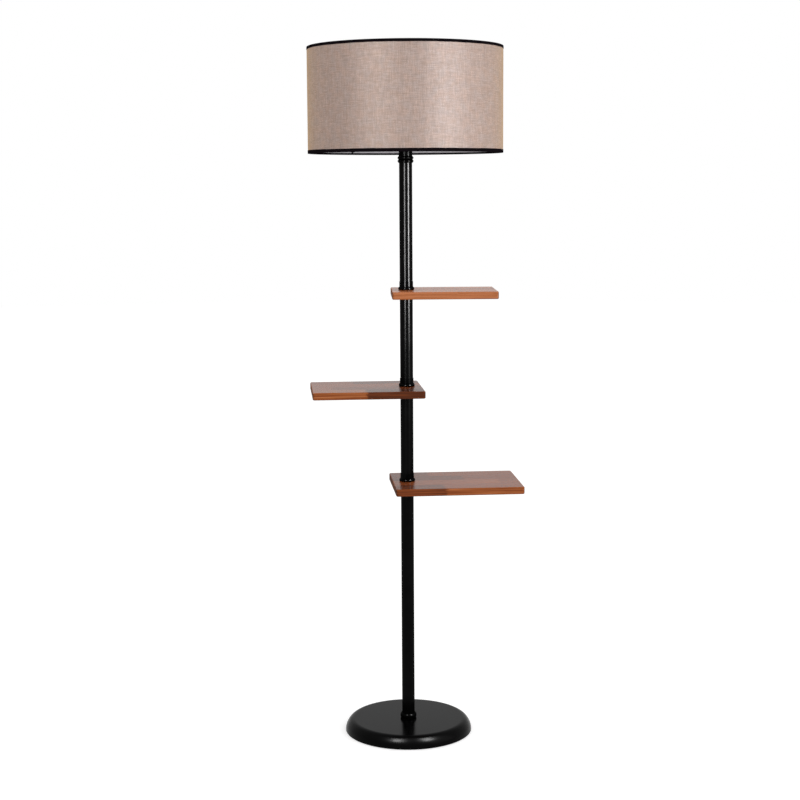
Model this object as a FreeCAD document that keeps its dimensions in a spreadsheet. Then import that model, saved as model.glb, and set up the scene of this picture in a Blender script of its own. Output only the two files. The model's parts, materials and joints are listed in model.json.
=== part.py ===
import FreeCAD, Part
import Sketcher
import math
import os

# Shelf floor lamp: a weighted round base, a pole of four tubes with three turning shelves
# between them, a screw lampholder and a drum shade hung on it.
# Millimetres, +Z up. The origin is on the floor, on the pole's axis.
# +X is the long way of the shelves and +Y is the back, where the cord inlet is.

DIMENSIONS = {
    # base: a pressed cover over a cast weight, on felt
    "base_diameter": 301.0,
    "base_height": 29.2,
    "base_rim_gap": 1.2,
    "base_round_width": 21.3,
    "base_cover_wall": 1.2,
    "base_weight_gap": 0.3,
    "felt_thickness": 2.2,
    "felt_inset": 3.5,
    "weight_web": 6.0,
    "weight_recess_diameter": 60.0,
    "channel_width": 24.0,
    "channel_height": 14.0,
    # cord inlet at the back of the base
    "inlet_height": 9.0,
    "inlet_neck_diameter": 10.0,
    "inlet_head_diameter": 15.0,
    "inlet_head_stand": 2.5,
    "inlet_neck_length": 8.0,
    "inlet_wall": 1.8,
    "inlet_gap": 0.1,
    # threaded pipe, its plugs, nut and washer
    "pipe_diameter": 10.0,
    "pipe_wall": 1.25,
    "thread_gap": 0.05,
    "hole_gap": 0.2,
    "plug_length": 14.0,
    "pipe_grip": 12.0,
    "washer_diameter": 40.0,
    "washer_thickness": 1.5,
    "nut_across_flats": 17.0,
    "nut_thickness": 5.0,
    "pipe_below_nut": 1.0,
    # pole tubes
    "tube_diameter": 30.0,
    "tube_wall": 1.2,
    "tube_seat_gap": 0.1,
    # ring at the foot of the pole
    "foot_ring_foot_diameter": 35.2,
    "foot_ring_top_diameter": 32.8,
    "foot_ring_height": 12.0,
    "foot_ring_bulge_radius": 9.0,
    "foot_ring_floor": 4.0,
    # collars on the shelves
    "collar_foot_diameter": 35.6,
    "collar_bead_top_diameter": 32.2,
    "collar_bead_height": 7.0,
    "collar_bead_radius": 5.0,
    "collar_sleeve_wall": 0.8,
    "collar_sleeve_height": 12.0,
    "collar_floor": 3.0,
    # shelves
    "first_shelf_height": 605.0,
    "shelf_spacing": 225.0,
    "board_thickness": 17.0,
    "board_corner_radius": 6.0,
    "board_edge_radius": 2.5,
    "pole_inset": 34.5,
    "bottom_board_length": 297.0,
    "bottom_board_depth": 217.0,
    "middle_board_length": 257.0,
    "middle_board_depth": 208.0,
    "top_board_length": 242.0,
    "top_board_depth": 182.0,
    "middle_board_turn": 180.0,
    "top_board_turn": -3.2,
    # double bead collar and neck under the shade
    "pole_top_height": 1345.3,
    "bead_waist_diameter": 31.8,
    "bead_height": 7.4,
    "bead_radius": 4.1,
    "bead_edge": 0.6,
    "neck_diameter": 31.2,
    "neck_wall": 1.2,
    "neck_length": 24.0,
    # lampholder
    "holder_diameter": 39.6,
    "holder_wall": 2.2,
    "holder_entry_diameter": 27.0,
    "holder_cap_floor": 2.5,
    "holder_cap_slope": 9.0,
    "holder_cap_height": 20.0,
    "holder_skirt_height": 45.0,
    "holder_flange_diameter": 46.0,
    "holder_flange_thickness": 3.0,
    "insert_lip": 1.0,
    "insert_lip_thickness": 3.0,
    "insert_height": 10.0,
    "insert_gap": 0.2,
    "screw_shell_diameter": 28.0,
    "screw_shell_wall": 0.5,
    "screw_shell_height": 26.0,
    "screw_shell_hole": 12.0,
    "contact_stem_diameter": 4.0,
    "contact_head_diameter": 8.0,
    "contact_head_thickness": 2.0,
    # ring nut that clamps the shade
    "ring_nut_diameter": 56.0,
    "ring_nut_gap": 0.3,
    "ring_nut_height": 8.0,
    "ring_nut_groove_diameter": 6.0,
    "ring_nut_groove_count": 16,
    # bulb
    "bulb_length": 108.0,
    "bulb_diameter": 60.0,
    "bulb_globe_wall": 1.2,
    "bulb_housing_height": 34.0,
    "bulb_neck_diameter": 29.0,
    "bulb_neck_length": 10.0,
    "bulb_cap_diameter": 26.0,
    "bulb_cap_wall": 0.4,
    "bulb_cap_height": 20.0,
    "bulb_tip_diameter": 9.0,
    "bulb_tip_height": 1.5,
    "bulb_seal_height": 4.0,
    # shade
    "shade_diameter": 446.4,
    "shade_height": 239.1,
    "shade_drop": 41.1,
    "fabric_thickness": 0.5,
    "lining_thickness": 0.5,
    "skin_gap": 0.05,
    "trim_thickness": 0.5,
    "top_trim_height": 6.6,
    "bottom_trim_height": 7.6,
    "trim_return_height": 4.2,
    "ring_wire_diameter": 3.4,
    "ring_wire_gap": 0.1,
    # spider that carries the shade
    "fitter_diameter": 60.0,
    "fitter_hole_gap": 0.5,
    "fitter_thickness": 2.0,
    "arm_diameter": 3.6,
    "arm_count": 3,
    "arm_start_angle": 0.3,
    "arm_overlap": 1.4,
    "arm_gap": 0.3,
    # wiring inside the pole
    "lead_diameter": 5.2,
    "lead_lift": 0.5,
    "terminal_width": 16.0,
    "terminal_length": 22.0,
    "terminal_height": 11.0,
    "terminal_distance": 62.0,
    "terminal_pitch": 8.0,
    "terminal_row_gap": 11.0,
    "terminal_well_diameter": 4.4,
    "terminal_well_depth": 7.0,
    "terminal_screw_diameter": 3.6,
    "terminal_screw_height": 4.0,
}

# Sine and cosine of 45 degrees, the slope at which the two arcs of the base's edge meet.
HALF_SLOPE = math.sqrt(0.5)

FULL_TURN = 360.0
THROUGH_ALL = "ThroughAll"


class Size:
    """A length or an angle: its value now, and the sheet formula that gives it."""

    def __init__(self, value, formula):
        self.value = value
        self.formula = formula

    def __add__(self, other):
        other = as_size(other)
        return Size(self.value + other.value, f"({self.formula} + {other.formula})")

    def __sub__(self, other):
        other = as_size(other)
        return Size(self.value - other.value, f"({self.formula} - {other.formula})")

    def __mul__(self, other):
        other = as_size(other)
        return Size(self.value * other.value, f"({self.formula} * {other.formula})")

    def __truediv__(self, other):
        other = as_size(other)
        return Size(self.value / other.value, f"({self.formula} / {other.formula})")

    def __neg__(self):
        return Size(-self.value, f"(0 - {self.formula})")

    def root(self):
        """The square root."""
        return Size(math.sqrt(self.value), f"sqrt({self.formula})")


def as_size(number):
    """A plain number as a Size; a Size stays as it is."""
    if isinstance(number, Size):
        return number
    return Size(float(number), repr(number))


ZERO = as_size(0)


class SizeSheet:
    """The spreadsheet of driving dimensions, read as attributes by their names."""

    def __init__(self, doc, dimensions):
        self.table = doc.addObject("Spreadsheet::Sheet", "Sizes")
        for row, (alias, value) in enumerate(dimensions.items(), start=1):
            self.table.set(f"A{row}", alias)
            self.table.set(f"B{row}", str(value))
            self.table.setAlias(f"B{row}", alias)
        doc.recompute()

    def __getattr__(self, alias):
        return Size(float(self.table.get(alias)), f"Sizes.{alias}")


def bind(thing, **properties):
    """Tie properties of an object to the sheet."""
    for name, size in properties.items():
        size = as_size(size)
        is_count = isinstance(getattr(thing, name), int)
        setattr(thing, name, round(size.value) if is_count else size.value)
        thing.setExpression(name, size.formula)


def place(thing, across=ZERO, back=ZERO, height=ZERO, rotation=None):
    """Give an object its Placement, tied to the sheet."""
    point = FreeCAD.Vector(across.value, back.value, height.value)
    thing.Placement = FreeCAD.Placement(point, rotation or FreeCAD.Rotation())
    thing.setExpression("Placement.Base.x", across.formula)
    thing.setExpression("Placement.Base.y", back.formula)
    thing.setExpression("Placement.Base.z", height.formula)
    return thing


def about_z(angle):
    """A rotation about +Z, in degrees."""
    return FreeCAD.Rotation(FreeCAD.Vector(0, 0, 1), angle)


class Outline:
    """A closed outline for a sketch: straight runs and arcs between corners that the sheet places."""

    def __init__(self, across, up):
        self.corners = [(as_size(across), as_size(up))]
        self.arcs = []

    def line(self, across, up):
        """A straight run to the next corner."""
        self.corners.append((as_size(across), as_size(up)))
        self.arcs.append(None)
        return self

    def arc(self, across, up, radius, side):
        """An arc to the next corner; its centre is on the left (1) or the right (-1) of the run."""
        self.corners.append((as_size(across), as_size(up)))
        self.arcs.append((as_size(radius), side))
        return self

    def points(self):
        """The corners as vectors, at the sizes that hold now."""
        return [FreeCAD.Vector(across.value, up.value, 0) for across, up in self.corners]

    def draw(self, sketch):
        """Put the runs on a sketch and tie each corner and radius to the sheet."""
        points = self.points()
        arcs = self.arcs + [None]
        first = len(sketch.Geometry)
        starts = []
        ends = []
        for index, begin in enumerate(points):
            end = points[(index + 1) % len(points)]
            number = add_run(sketch, begin, end, arcs[index])
            starts.append(vertex_at(sketch, number, begin))
            ends.append(vertex_at(sketch, number, end))
        for index in range(len(points)):
            following = (index + 1) % len(points)
            sketch.addConstraint(Sketcher.Constraint(
                "Coincident", first + index, ends[index], first + following, starts[following]))
        for index, (across, up) in enumerate(self.corners):
            pin_point(sketch, first + index, starts[index], across, up)
        for index, bend in enumerate(arcs):
            if bend is not None:
                pin_radius(sketch, first + index, bend[0])


def add_run(sketch, begin, end, bend):
    """Add one straight run or arc to a sketch and return its number."""
    if bend is None:
        return sketch.addGeometry(Part.LineSegment(begin, end), False)
    radius, side = bend[0].value, bend[1]
    chord = end.sub(begin)
    half = chord.Length / 2
    to_left = FreeCAD.Vector(-chord.y, chord.x, 0).normalize()
    middle = begin.add(end).multiply(0.5)
    centre_shift = math.sqrt(max(radius * radius - half * half, 0.0))
    bulge = middle.sub(to_left.multiply(side * (radius - centre_shift)))
    return sketch.addGeometry(Part.Arc(begin, bulge, end), False)


def vertex_at(sketch, number, point):
    """Which end of a run, 1 or 2, lies at a point."""
    start = sketch.getPoint(number, 1)
    end = sketch.getPoint(number, 2)
    return 1 if start.distanceToPoint(point) <= end.distanceToPoint(point) else 2


def pin_point(sketch, number, vertex, across, up):
    """Hold a vertex at its distances from the sketch's origin.

    The solver numbers the axis that runs across as -1, which also holds the origin as its first
    vertex, and the upright axis as -2.
    """
    for kind, size, axis in (("DistanceX", across, -2), ("DistanceY", up, -1)):
        if size is ZERO or size.formula == ZERO.formula:
            sketch.addConstraint(Sketcher.Constraint("PointOnObject", number, vertex, axis))
            continue
        index = sketch.addConstraint(Sketcher.Constraint(
            kind, -1, 1, number, vertex, size.value))
        sketch.setExpression(f"Constraints[{index}]", size.formula)


def pin_radius(sketch, number, radius):
    """Hold the radius of an arc or circle."""
    index = sketch.addConstraint(Sketcher.Constraint("Radius", number, radius.value))
    sketch.setExpression(f"Constraints[{index}]", radius.formula)


def draw_circle(sketch, across, up, radius):
    """A circle on a sketch, tied to the sheet."""
    across, up, radius = as_size(across), as_size(up), as_size(radius)
    centre = FreeCAD.Vector(across.value, up.value, 0)
    upright = FreeCAD.Vector(0, 0, 1)
    number = sketch.addGeometry(Part.Circle(centre, upright, radius.value), False)
    pin_point(sketch, number, 3, across, up)
    pin_radius(sketch, number, radius)


def new_body(doc, label, height=ZERO, rotation=None):
    """An empty body with its own label and place."""
    body = doc.addObject("PartDesign::Body", label)
    body.Label = label
    return place(body, height=height, rotation=rotation)


def new_sketch(body, plane, name):
    """A sketch on one of its body's own origin planes."""
    sketch = body.newObject("Sketcher::SketchObject", name)
    support = [item for item in body.Origin.OriginFeatures if item.Role == plane][0]
    sketch.AttachmentSupport = [(support, "")]
    sketch.MapMode = "FlatFace"
    return sketch


def turned_body(doc, label, outline, height=ZERO, plane="XZ_Plane"):
    """A body turned about the upright axis of its outline's plane."""
    body = new_body(doc, label, height)
    sketch = new_sketch(body, plane, label + "_outline")
    outline.draw(sketch)
    turned = body.newObject("PartDesign::Revolution", label + "_turned")
    turned.Profile = sketch
    turned.ReferenceAxis = (sketch, ["V_Axis"])
    turned.Angle = FULL_TURN
    doc.recompute()
    return body


def padded_body(doc, label, draw, length, height=ZERO, rotation=None):
    """A body padded up from a sketch on the ground plane; draw puts the geometry on the sketch."""
    body = new_body(doc, label, height, rotation)
    sketch = new_sketch(body, "XY_Plane", label + "_plan")
    draw(sketch)
    pad = body.newObject("PartDesign::Pad", label + "_pad")
    pad.Profile = sketch
    bind(pad, Length=length)
    doc.recompute()
    return body


def ring_plan(outer_radius, inner_radius):
    """What draws two circles on one centre."""
    def draw(sketch):
        draw_circle(sketch, ZERO, ZERO, outer_radius)
        draw_circle(sketch, ZERO, ZERO, inner_radius)
    return draw


def cut_pocket(doc, body, plane, name, draw, depth=None, reversed_cut=False):
    """Cut a pocket from one of the body's planes, through all where no depth is given."""
    before = body.Shape.Volume
    sketch = new_sketch(body, plane, name + "_plan")
    draw(sketch)
    pocket = body.newObject("PartDesign::Pocket", name)
    pocket.Profile = sketch
    pocket.Reversed = reversed_cut
    if depth is None:
        pocket.Type = THROUGH_ALL
    else:
        bind(pocket, Length=depth)
    doc.recompute()
    if not body.Shape.Volume < before:
        raise RuntimeError(f"{name} removed nothing")
    return pocket


def fillet_edges(doc, body, name, radius, wanted):
    """Round the edges of a body's last feature that the test picks."""
    base = body.Tip
    names = [f"Edge{number}" for number, edge in enumerate(base.Shape.Edges, start=1) if wanted(edge)]
    fillet = body.newObject("PartDesign::Fillet", name)
    fillet.Base = (base, names)
    bind(fillet, Radius=radius)
    doc.recompute()
    return fillet


def cylinder(doc, name, radius, length, **position):
    """A plain cylinder standing at its place."""
    solid = doc.addObject("Part::Cylinder", name)
    bind(solid, Radius=radius, Height=length)
    return place(solid, **position)


def boolean(doc, kind, name, base, tool):
    """A Part::Cut or Part::Common of two objects."""
    result = doc.addObject(kind, name)
    result.Base = base
    result.Tool = tool
    result.Label = name
    return result


def sleeve(doc, name, outer_radius, inner_radius, length, height):
    """A short tube: one cylinder bored by another, moved to its height as one."""
    blank = cylinder(doc, name + "_blank", outer_radius, length)
    bore = cylinder(doc, name + "_bore", inner_radius, length)
    return place(boolean(doc, "Part::Cut", name, blank, bore), height=height)


def group(doc, label, solids):
    """Several like solids under one name."""
    together = doc.addObject("Part::Compound", label)
    together.Links = solids
    together.Label = label
    return together


class Levels:
    """Heights and radii that several pieces share, worked out from the driving dimensions."""

    def __init__(self, size):
        self.pipe_radius = size.pipe_diameter / 2
        self.thread_radius = self.pipe_radius + size.thread_gap
        self.hole_radius = self.pipe_radius + size.hole_gap
        self.tube_radius = size.tube_diameter / 2
        self.tube_bore = self.tube_radius - size.tube_wall
        self.tube_seat_radius = self.tube_radius + size.tube_seat_gap
        self.foot_seat = size.base_height + size.foot_ring_floor
        self.shelf_tops = [size.first_shelf_height + size.shelf_spacing * step for step in range(3)]
        self.recess_ceiling = size.base_height - size.base_cover_wall - size.weight_web
        self.nut_underside = self.recess_ceiling - size.washer_thickness - size.nut_thickness
        self.bead_collar_height = size.bead_height * 2 + size.bead_edge * 2
        self.neck_bottom = size.pole_top_height + self.bead_collar_height
        self.holder_bottom = self.neck_bottom + size.neck_length
        self.skirt_bottom = self.holder_bottom + size.holder_cap_height
        self.holder_radius = size.holder_diameter / 2
        self.holder_bore = self.holder_radius - size.holder_wall
        self.shade_seat = self.skirt_bottom + size.holder_flange_thickness
        self.insert_top = self.skirt_bottom + size.insert_height
        self.bulb_bottom = self.insert_top + size.contact_head_thickness
        self.shade_bottom = self.shade_seat - size.shade_drop
        self.shade_top = self.shade_bottom + size.shade_height
        self.shade_radius = size.shade_diameter / 2
        self.lining_outside = self.shade_radius - size.fabric_thickness - size.skin_gap
        self.lining_inside = self.lining_outside - size.lining_thickness
        self.wire_radius = size.ring_wire_diameter / 2
        self.wire_circle = self.lining_inside - size.ring_wire_gap - self.wire_radius


def base_edge(size, inset):
    """Points and radii of the base's rounded edge, moved in from the outside by inset.

    The edge is two arcs that meet on a slope of 45 degrees: a tight one under the flat top and
    a wide one down to the rim.
    """
    inset = as_size(inset)
    width = size.base_round_width
    drop = size.base_height - size.base_rim_gap
    spread = HALF_SLOPE * 2 - 1
    top_radius = (width * HALF_SLOPE - drop * (1 - HALF_SLOPE)) / spread
    side_radius = (drop * HALF_SLOPE - width * (1 - HALF_SLOPE)) / spread
    flat_radius = size.base_diameter / 2 - width
    top_arc = top_radius - inset
    side_arc = side_radius - inset
    return {
        "flat": (flat_radius, size.base_height - inset),
        "join": (flat_radius + top_arc * HALF_SLOPE,
                 size.base_height - top_radius + top_arc * HALF_SLOPE),
        "rim": (size.base_diameter / 2 - inset, size.base_rim_gap),
        "top_arc": top_arc,
        "side_arc": side_arc,
        "side_centre": size.base_diameter / 2 - side_radius,
    }


def make_base_cover(doc, size, level):
    """Pressed steel cover with a hole for the pipe and one for the cord inlet."""
    outside = base_edge(size, ZERO)
    inside = base_edge(size, size.base_cover_wall)
    outline = Outline(level.hole_radius, size.base_height)
    outline.line(*outside["flat"])
    outline.arc(*outside["join"], outside["top_arc"], -1)
    outline.arc(*outside["rim"], outside["side_arc"], -1)
    outline.line(*inside["rim"])
    outline.arc(*inside["join"], inside["side_arc"], 1)
    outline.arc(*inside["flat"], inside["top_arc"], 1)
    outline.line(level.hole_radius, inside["flat"][1])
    body = turned_body(doc, "base_cover", outline)
    hole_radius = size.inlet_neck_diameter / 2 + size.hole_gap
    cut_pocket(doc, body, "XZ_Plane", "inlet_hole",
               lambda sketch: draw_circle(sketch, ZERO, size.inlet_height, hole_radius))
    return body


def make_base_weight(doc, size, level):
    """Cast weight under the cover, with a recess for the nut and a channel to the back."""
    inset = size.base_cover_wall + size.base_weight_gap
    edge = base_edge(size, inset)
    ceiling = size.base_height - size.base_cover_wall
    rise = size.felt_thickness - size.base_rim_gap
    foot_radius = edge["side_centre"] + (edge["side_arc"] * edge["side_arc"] - rise * rise).root()
    outline = Outline(level.hole_radius, ceiling)
    outline.line(edge["flat"][0] - size.base_weight_gap, ceiling)
    outline.line(*edge["flat"])
    outline.arc(*edge["join"], edge["top_arc"], -1)
    outline.arc(foot_radius, size.felt_thickness, edge["side_arc"], -1)
    outline.line(size.weight_recess_diameter / 2, size.felt_thickness)
    outline.line(size.weight_recess_diameter / 2, level.recess_ceiling)
    outline.line(level.hole_radius, level.recess_ceiling)
    body = turned_body(doc, "base_weight", outline)
    half = size.channel_width / 2
    channel_top = size.felt_thickness + size.channel_height
    channel = Outline(-half, ZERO).line(half, ZERO).line(half, channel_top).line(-half, channel_top)
    cut_pocket(doc, body, "XZ_Plane", "lead_channel", channel.draw)
    return body


def make_base_felt(doc, size):
    """Felt disc that the lamp stands on."""
    radius = size.base_diameter / 2 - size.felt_inset
    return padded_body(doc, "base_felt", lambda sketch: draw_circle(sketch, ZERO, ZERO, radius),
                       size.felt_thickness)


def make_cord_inlet(doc, size):
    """Bushing at the back of the cover: a head shaped to the rounded edge, a neck and a bore."""
    outside = base_edge(size, -size.inlet_gap)
    envelope = Outline(ZERO, outside["flat"][1])
    envelope.line(*outside["flat"])
    envelope.arc(*outside["join"], outside["top_arc"], -1)
    envelope.arc(*outside["rim"], outside["side_arc"], -1)
    envelope.line(ZERO, size.base_rim_gap)
    envelope_body = turned_body(doc, "inlet_envelope", envelope)

    facing_back = FreeCAD.Rotation(FreeCAD.Vector(1, 0, 0), -90)
    base_radius = size.base_diameter / 2
    neck_start = base_radius - size.inlet_neck_length
    full_length = size.inlet_neck_length + size.inlet_head_stand
    where = {"back": neck_start, "height": size.inlet_height, "rotation": facing_back}
    head_blank = cylinder(doc, "inlet_head_blank", size.inlet_head_diameter / 2, full_length, **where)
    head = boolean(doc, "Part::Cut", "inlet_head", head_blank, envelope_body)
    neck = cylinder(doc, "inlet_neck", size.inlet_neck_diameter / 2, full_length, **where)
    joined = doc.addObject("Part::MultiFuse", "inlet_joined")
    joined.Shapes = [head, neck]
    bore_radius = size.inlet_neck_diameter / 2 - size.inlet_wall
    bore = cylinder(doc, "inlet_bore", bore_radius, full_length, **where)
    return boolean(doc, "Part::Cut", "cord_inlet", joined, bore)


def make_base_washer(doc, size, level):
    """Wide washer under the weight's web."""
    plan = ring_plan(size.washer_diameter / 2, level.hole_radius)
    return padded_body(doc, "base_washer", plan, size.washer_thickness,
                       level.recess_ceiling - size.washer_thickness)


def make_base_nut(doc, size, level):
    """Hexagon nut on the lower end of the base's pipe."""
    blank = doc.addObject("Part::Prism", "base_nut_blank")
    blank.Polygon = 6
    bind(blank, Circumradius=size.nut_across_flats / math.sqrt(3), Height=size.nut_thickness)
    bore = cylinder(doc, "base_nut_bore", level.thread_radius, size.nut_thickness)
    return place(boolean(doc, "Part::Cut", "base_nut", blank, bore), height=level.nut_underside)


def make_terminal_block(doc, size, level):
    """Moulded terminal block in the weight's channel, with four screw wells from below."""
    half = size.terminal_width / 2
    near = size.terminal_distance
    far = near + size.terminal_length
    top = size.felt_thickness + size.channel_height
    plan = Outline(-half, near).line(half, near).line(half, far).line(-half, far)
    body = padded_body(doc, "terminal_block", plan.draw, size.terminal_height,
                       top - size.terminal_height)
    pitch = size.terminal_pitch / 2
    first_row = near + (size.terminal_length - size.terminal_row_gap) / 2

    def wells(sketch):
        for across in (-pitch, pitch):
            for along in (first_row, first_row + size.terminal_row_gap):
                draw_circle(sketch, across, along, size.terminal_well_diameter / 2)

    cut_pocket(doc, body, "XY_Plane", "screw_wells", wells, size.terminal_well_depth, True)
    screws = []
    well_roof = top - size.terminal_height + size.terminal_well_depth
    for column, across in enumerate((-pitch, pitch)):
        for row, along in enumerate((first_row, first_row + size.terminal_row_gap)):
            screws.append(cylinder(
                doc, f"terminal_screw_{column}_{row}", size.terminal_screw_diameter / 2,
                size.terminal_screw_height, across=across, back=along,
                height=well_roof - size.terminal_screw_height))
    return [body, group(doc, "terminal_screws", screws)]


def make_inner_lead(doc, size, level):
    """Lead from the terminal block, round one bend and up inside the pole to the lampholder."""
    body = new_body(doc, "inner_lead")
    lead_radius = size.lead_diameter / 2
    run_height = size.felt_thickness + size.lead_lift + lead_radius
    bend = level.nut_underside - size.pipe_below_nut - run_height
    top = level.skirt_bottom
    path = new_sketch(body, "YZ_Plane", "lead_path")
    corners = [(size.terminal_distance, run_height), (bend, run_height),
               (ZERO, run_height + bend), (ZERO, top)]
    points = [FreeCAD.Vector(across.value, up.value, 0) for across, up in corners]
    runs = [add_run(path, points[0], points[1], None),
            add_run(path, points[1], points[2], (bend, -1)),
            add_run(path, points[2], points[3], None)]
    for index, number in enumerate(runs):
        pin_point(path, number, vertex_at(path, number, points[index]), *corners[index])
    pin_point(path, runs[2], vertex_at(path, runs[2], points[3]), *corners[3])
    for index in (0, 1):
        end = vertex_at(path, runs[index], points[index + 1])
        start = vertex_at(path, runs[index + 1], points[index + 1])
        path.addConstraint(Sketcher.Constraint("Coincident", runs[index], end, runs[index + 1], start))
    pin_radius(path, runs[1], bend)

    profile = new_sketch(body, "XY_Plane", "lead_section")
    profile.AttachmentOffset = FreeCAD.Placement(FreeCAD.Vector(0, 0, top.value), FreeCAD.Rotation())
    profile.setExpression("AttachmentOffset.Base.z", top.formula)
    draw_circle(profile, ZERO, ZERO, lead_radius)
    doc.recompute()
    pipe = body.newObject("PartDesign::AdditivePipe", "lead_pipe")
    pipe.Profile = profile
    pipe.Spine = (path, [f"Edge{number}" for number in range(1, len(runs) + 1)])
    doc.recompute()
    print(f"inner lead: bend radius {bend.value:.1f} mm")
    return body


def make_foot_ring(doc, size, level):
    """Turned ring on the base, in which the lowest tube stands."""
    seat = level.tube_seat_radius
    outline = Outline(level.hole_radius, ZERO)
    outline.line(size.foot_ring_foot_diameter / 2, ZERO)
    outline.arc(size.foot_ring_top_diameter / 2, size.foot_ring_height, size.foot_ring_bulge_radius, 1)
    outline.line(seat, size.foot_ring_height)
    outline.line(seat, size.foot_ring_floor)
    outline.line(level.hole_radius, size.foot_ring_floor)
    return turned_body(doc, "foot_ring", outline, size.base_height)


def make_shelf_collars(doc, size, level):
    """One turned collar on each shelf: a bead, a thin sleeve and a floor for the next tube."""
    seat = level.tube_seat_radius
    sleeve_radius = seat + size.collar_sleeve_wall
    full_height = size.collar_bead_height + size.collar_sleeve_height
    collars = []
    for label, top in zip(("collar_bottom", "collar_middle", "collar_top"), level.shelf_tops):
        outline = Outline(level.hole_radius, ZERO)
        outline.line(size.collar_foot_diameter / 2, ZERO)
        outline.arc(size.collar_bead_top_diameter / 2, size.collar_bead_height,
                    size.collar_bead_radius, 1)
        outline.line(sleeve_radius, size.collar_bead_height)
        outline.line(sleeve_radius, full_height)
        outline.line(seat, full_height)
        outline.line(seat, size.collar_floor)
        outline.line(level.hole_radius, size.collar_floor)
        collars.append(turned_body(doc, label, outline, top))
    return collars


def make_pole_tubes(doc, size, level):
    """The four tubes of the pole, with a threaded plug in each end."""
    bottoms = [level.foot_seat] + [top + size.collar_floor for top in level.shelf_tops]
    tops = [top - size.board_thickness for top in level.shelf_tops] + [size.pole_top_height]
    plan = ring_plan(level.tube_radius, level.tube_bore)
    pieces = []
    plugs = []
    for number, (bottom, top) in enumerate(zip(bottoms, tops), start=1):
        pieces.append(padded_body(doc, f"pole_tube_{number}", plan, top - bottom, bottom))
        for end, height in (("lower", bottom), ("upper", top - size.plug_length)):
            plugs.append(sleeve(doc, f"plug_{number}_{end}", level.tube_bore - size.thread_gap,
                                level.thread_radius, size.plug_length, height))
    return pieces + [group(doc, "tube_plugs", plugs)]


def make_pipes(doc, size, level):
    """The threaded pipes that draw the lamp together: base, three shelves and neck."""
    bore = level.pipe_radius - size.pipe_wall

    def pipe(name, bottom, top):
        return sleeve(doc, name, level.pipe_radius, bore, top - bottom, bottom)

    base_pipe = pipe("base_pipe", level.nut_underside - size.pipe_below_nut,
                     level.foot_seat + size.pipe_grip)
    shelf_pipes = [
        pipe(f"shelf_pipe_{number}", top - size.board_thickness - size.pipe_grip,
             top + size.collar_floor + size.pipe_grip)
        for number, top in enumerate(level.shelf_tops, start=1)]
    neck_pipe = pipe("neck_pipe", size.pole_top_height - size.pipe_grip,
                     level.holder_bottom + size.pipe_grip)
    return [base_pipe, group(doc, "shelf_pipes", shelf_pipes), neck_pipe]


def make_shelves(doc, size, level):
    """Three boards of unlike size, each bored near one end and free to turn on its pipe."""
    makes = [
        ("shelf_bottom", size.bottom_board_length, size.bottom_board_depth, 0.0),
        ("shelf_middle", size.middle_board_length, size.middle_board_depth,
         size.middle_board_turn.value),
        ("shelf_top", size.top_board_length, size.top_board_depth, size.top_board_turn.value),
    ]
    boards = []
    for (label, length, depth, turn), top in zip(makes, level.shelf_tops):
        near = -size.pole_inset
        far = length - size.pole_inset
        half = depth / 2
        plan = Outline(near, -half).line(far, -half).line(far, half).line(near, half)
        board = padded_body(doc, label, plan.draw, size.board_thickness,
                            top - size.board_thickness, about_z(turn))
        fillet_edges(doc, board, label + "_corners", size.board_corner_radius, is_upright)
        fillet_edges(doc, board, label + "_edges", size.board_edge_radius, is_level)
        cut_pocket(doc, board, "XY_Plane", label + "_bore",
                   lambda sketch: draw_circle(sketch, ZERO, ZERO, level.hole_radius),
                   reversed_cut=True)
        boards.append(board)
    return boards


def is_upright(edge):
    """Whether an edge runs straight up."""
    run = edge.Vertexes[-1].Point.sub(edge.Vertexes[0].Point)
    return abs(run.z) > run.Length / 2


def is_level(edge):
    """Whether an edge lies level."""
    return not is_upright(edge)


def make_bead_collar(doc, size, level):
    """Turned collar of two beads on the top of the pole."""
    waist = size.bead_waist_diameter / 2
    first_waist = size.bead_edge + size.bead_height
    outline = Outline(level.hole_radius, ZERO)
    outline.line(waist, ZERO)
    outline.line(waist, size.bead_edge)
    outline.arc(waist, first_waist, size.bead_radius, 1)
    outline.arc(waist, first_waist + size.bead_height, size.bead_radius, 1)
    outline.line(waist, level.bead_collar_height)
    outline.line(level.hole_radius, level.bead_collar_height)
    return turned_body(doc, "bead_collar", outline, size.pole_top_height)


def make_neck(doc, size, level):
    """Closed cup between the bead collar and the lampholder."""
    outside = size.neck_diameter / 2
    inside = outside - size.neck_wall
    roof = size.neck_length - size.neck_wall
    outline = Outline(inside, ZERO)
    outline.line(outside, ZERO)
    outline.line(outside, size.neck_length)
    outline.line(level.hole_radius, size.neck_length)
    outline.line(level.hole_radius, roof)
    outline.line(inside, roof)
    return turned_body(doc, "neck_cup", outline, level.neck_bottom)


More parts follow.
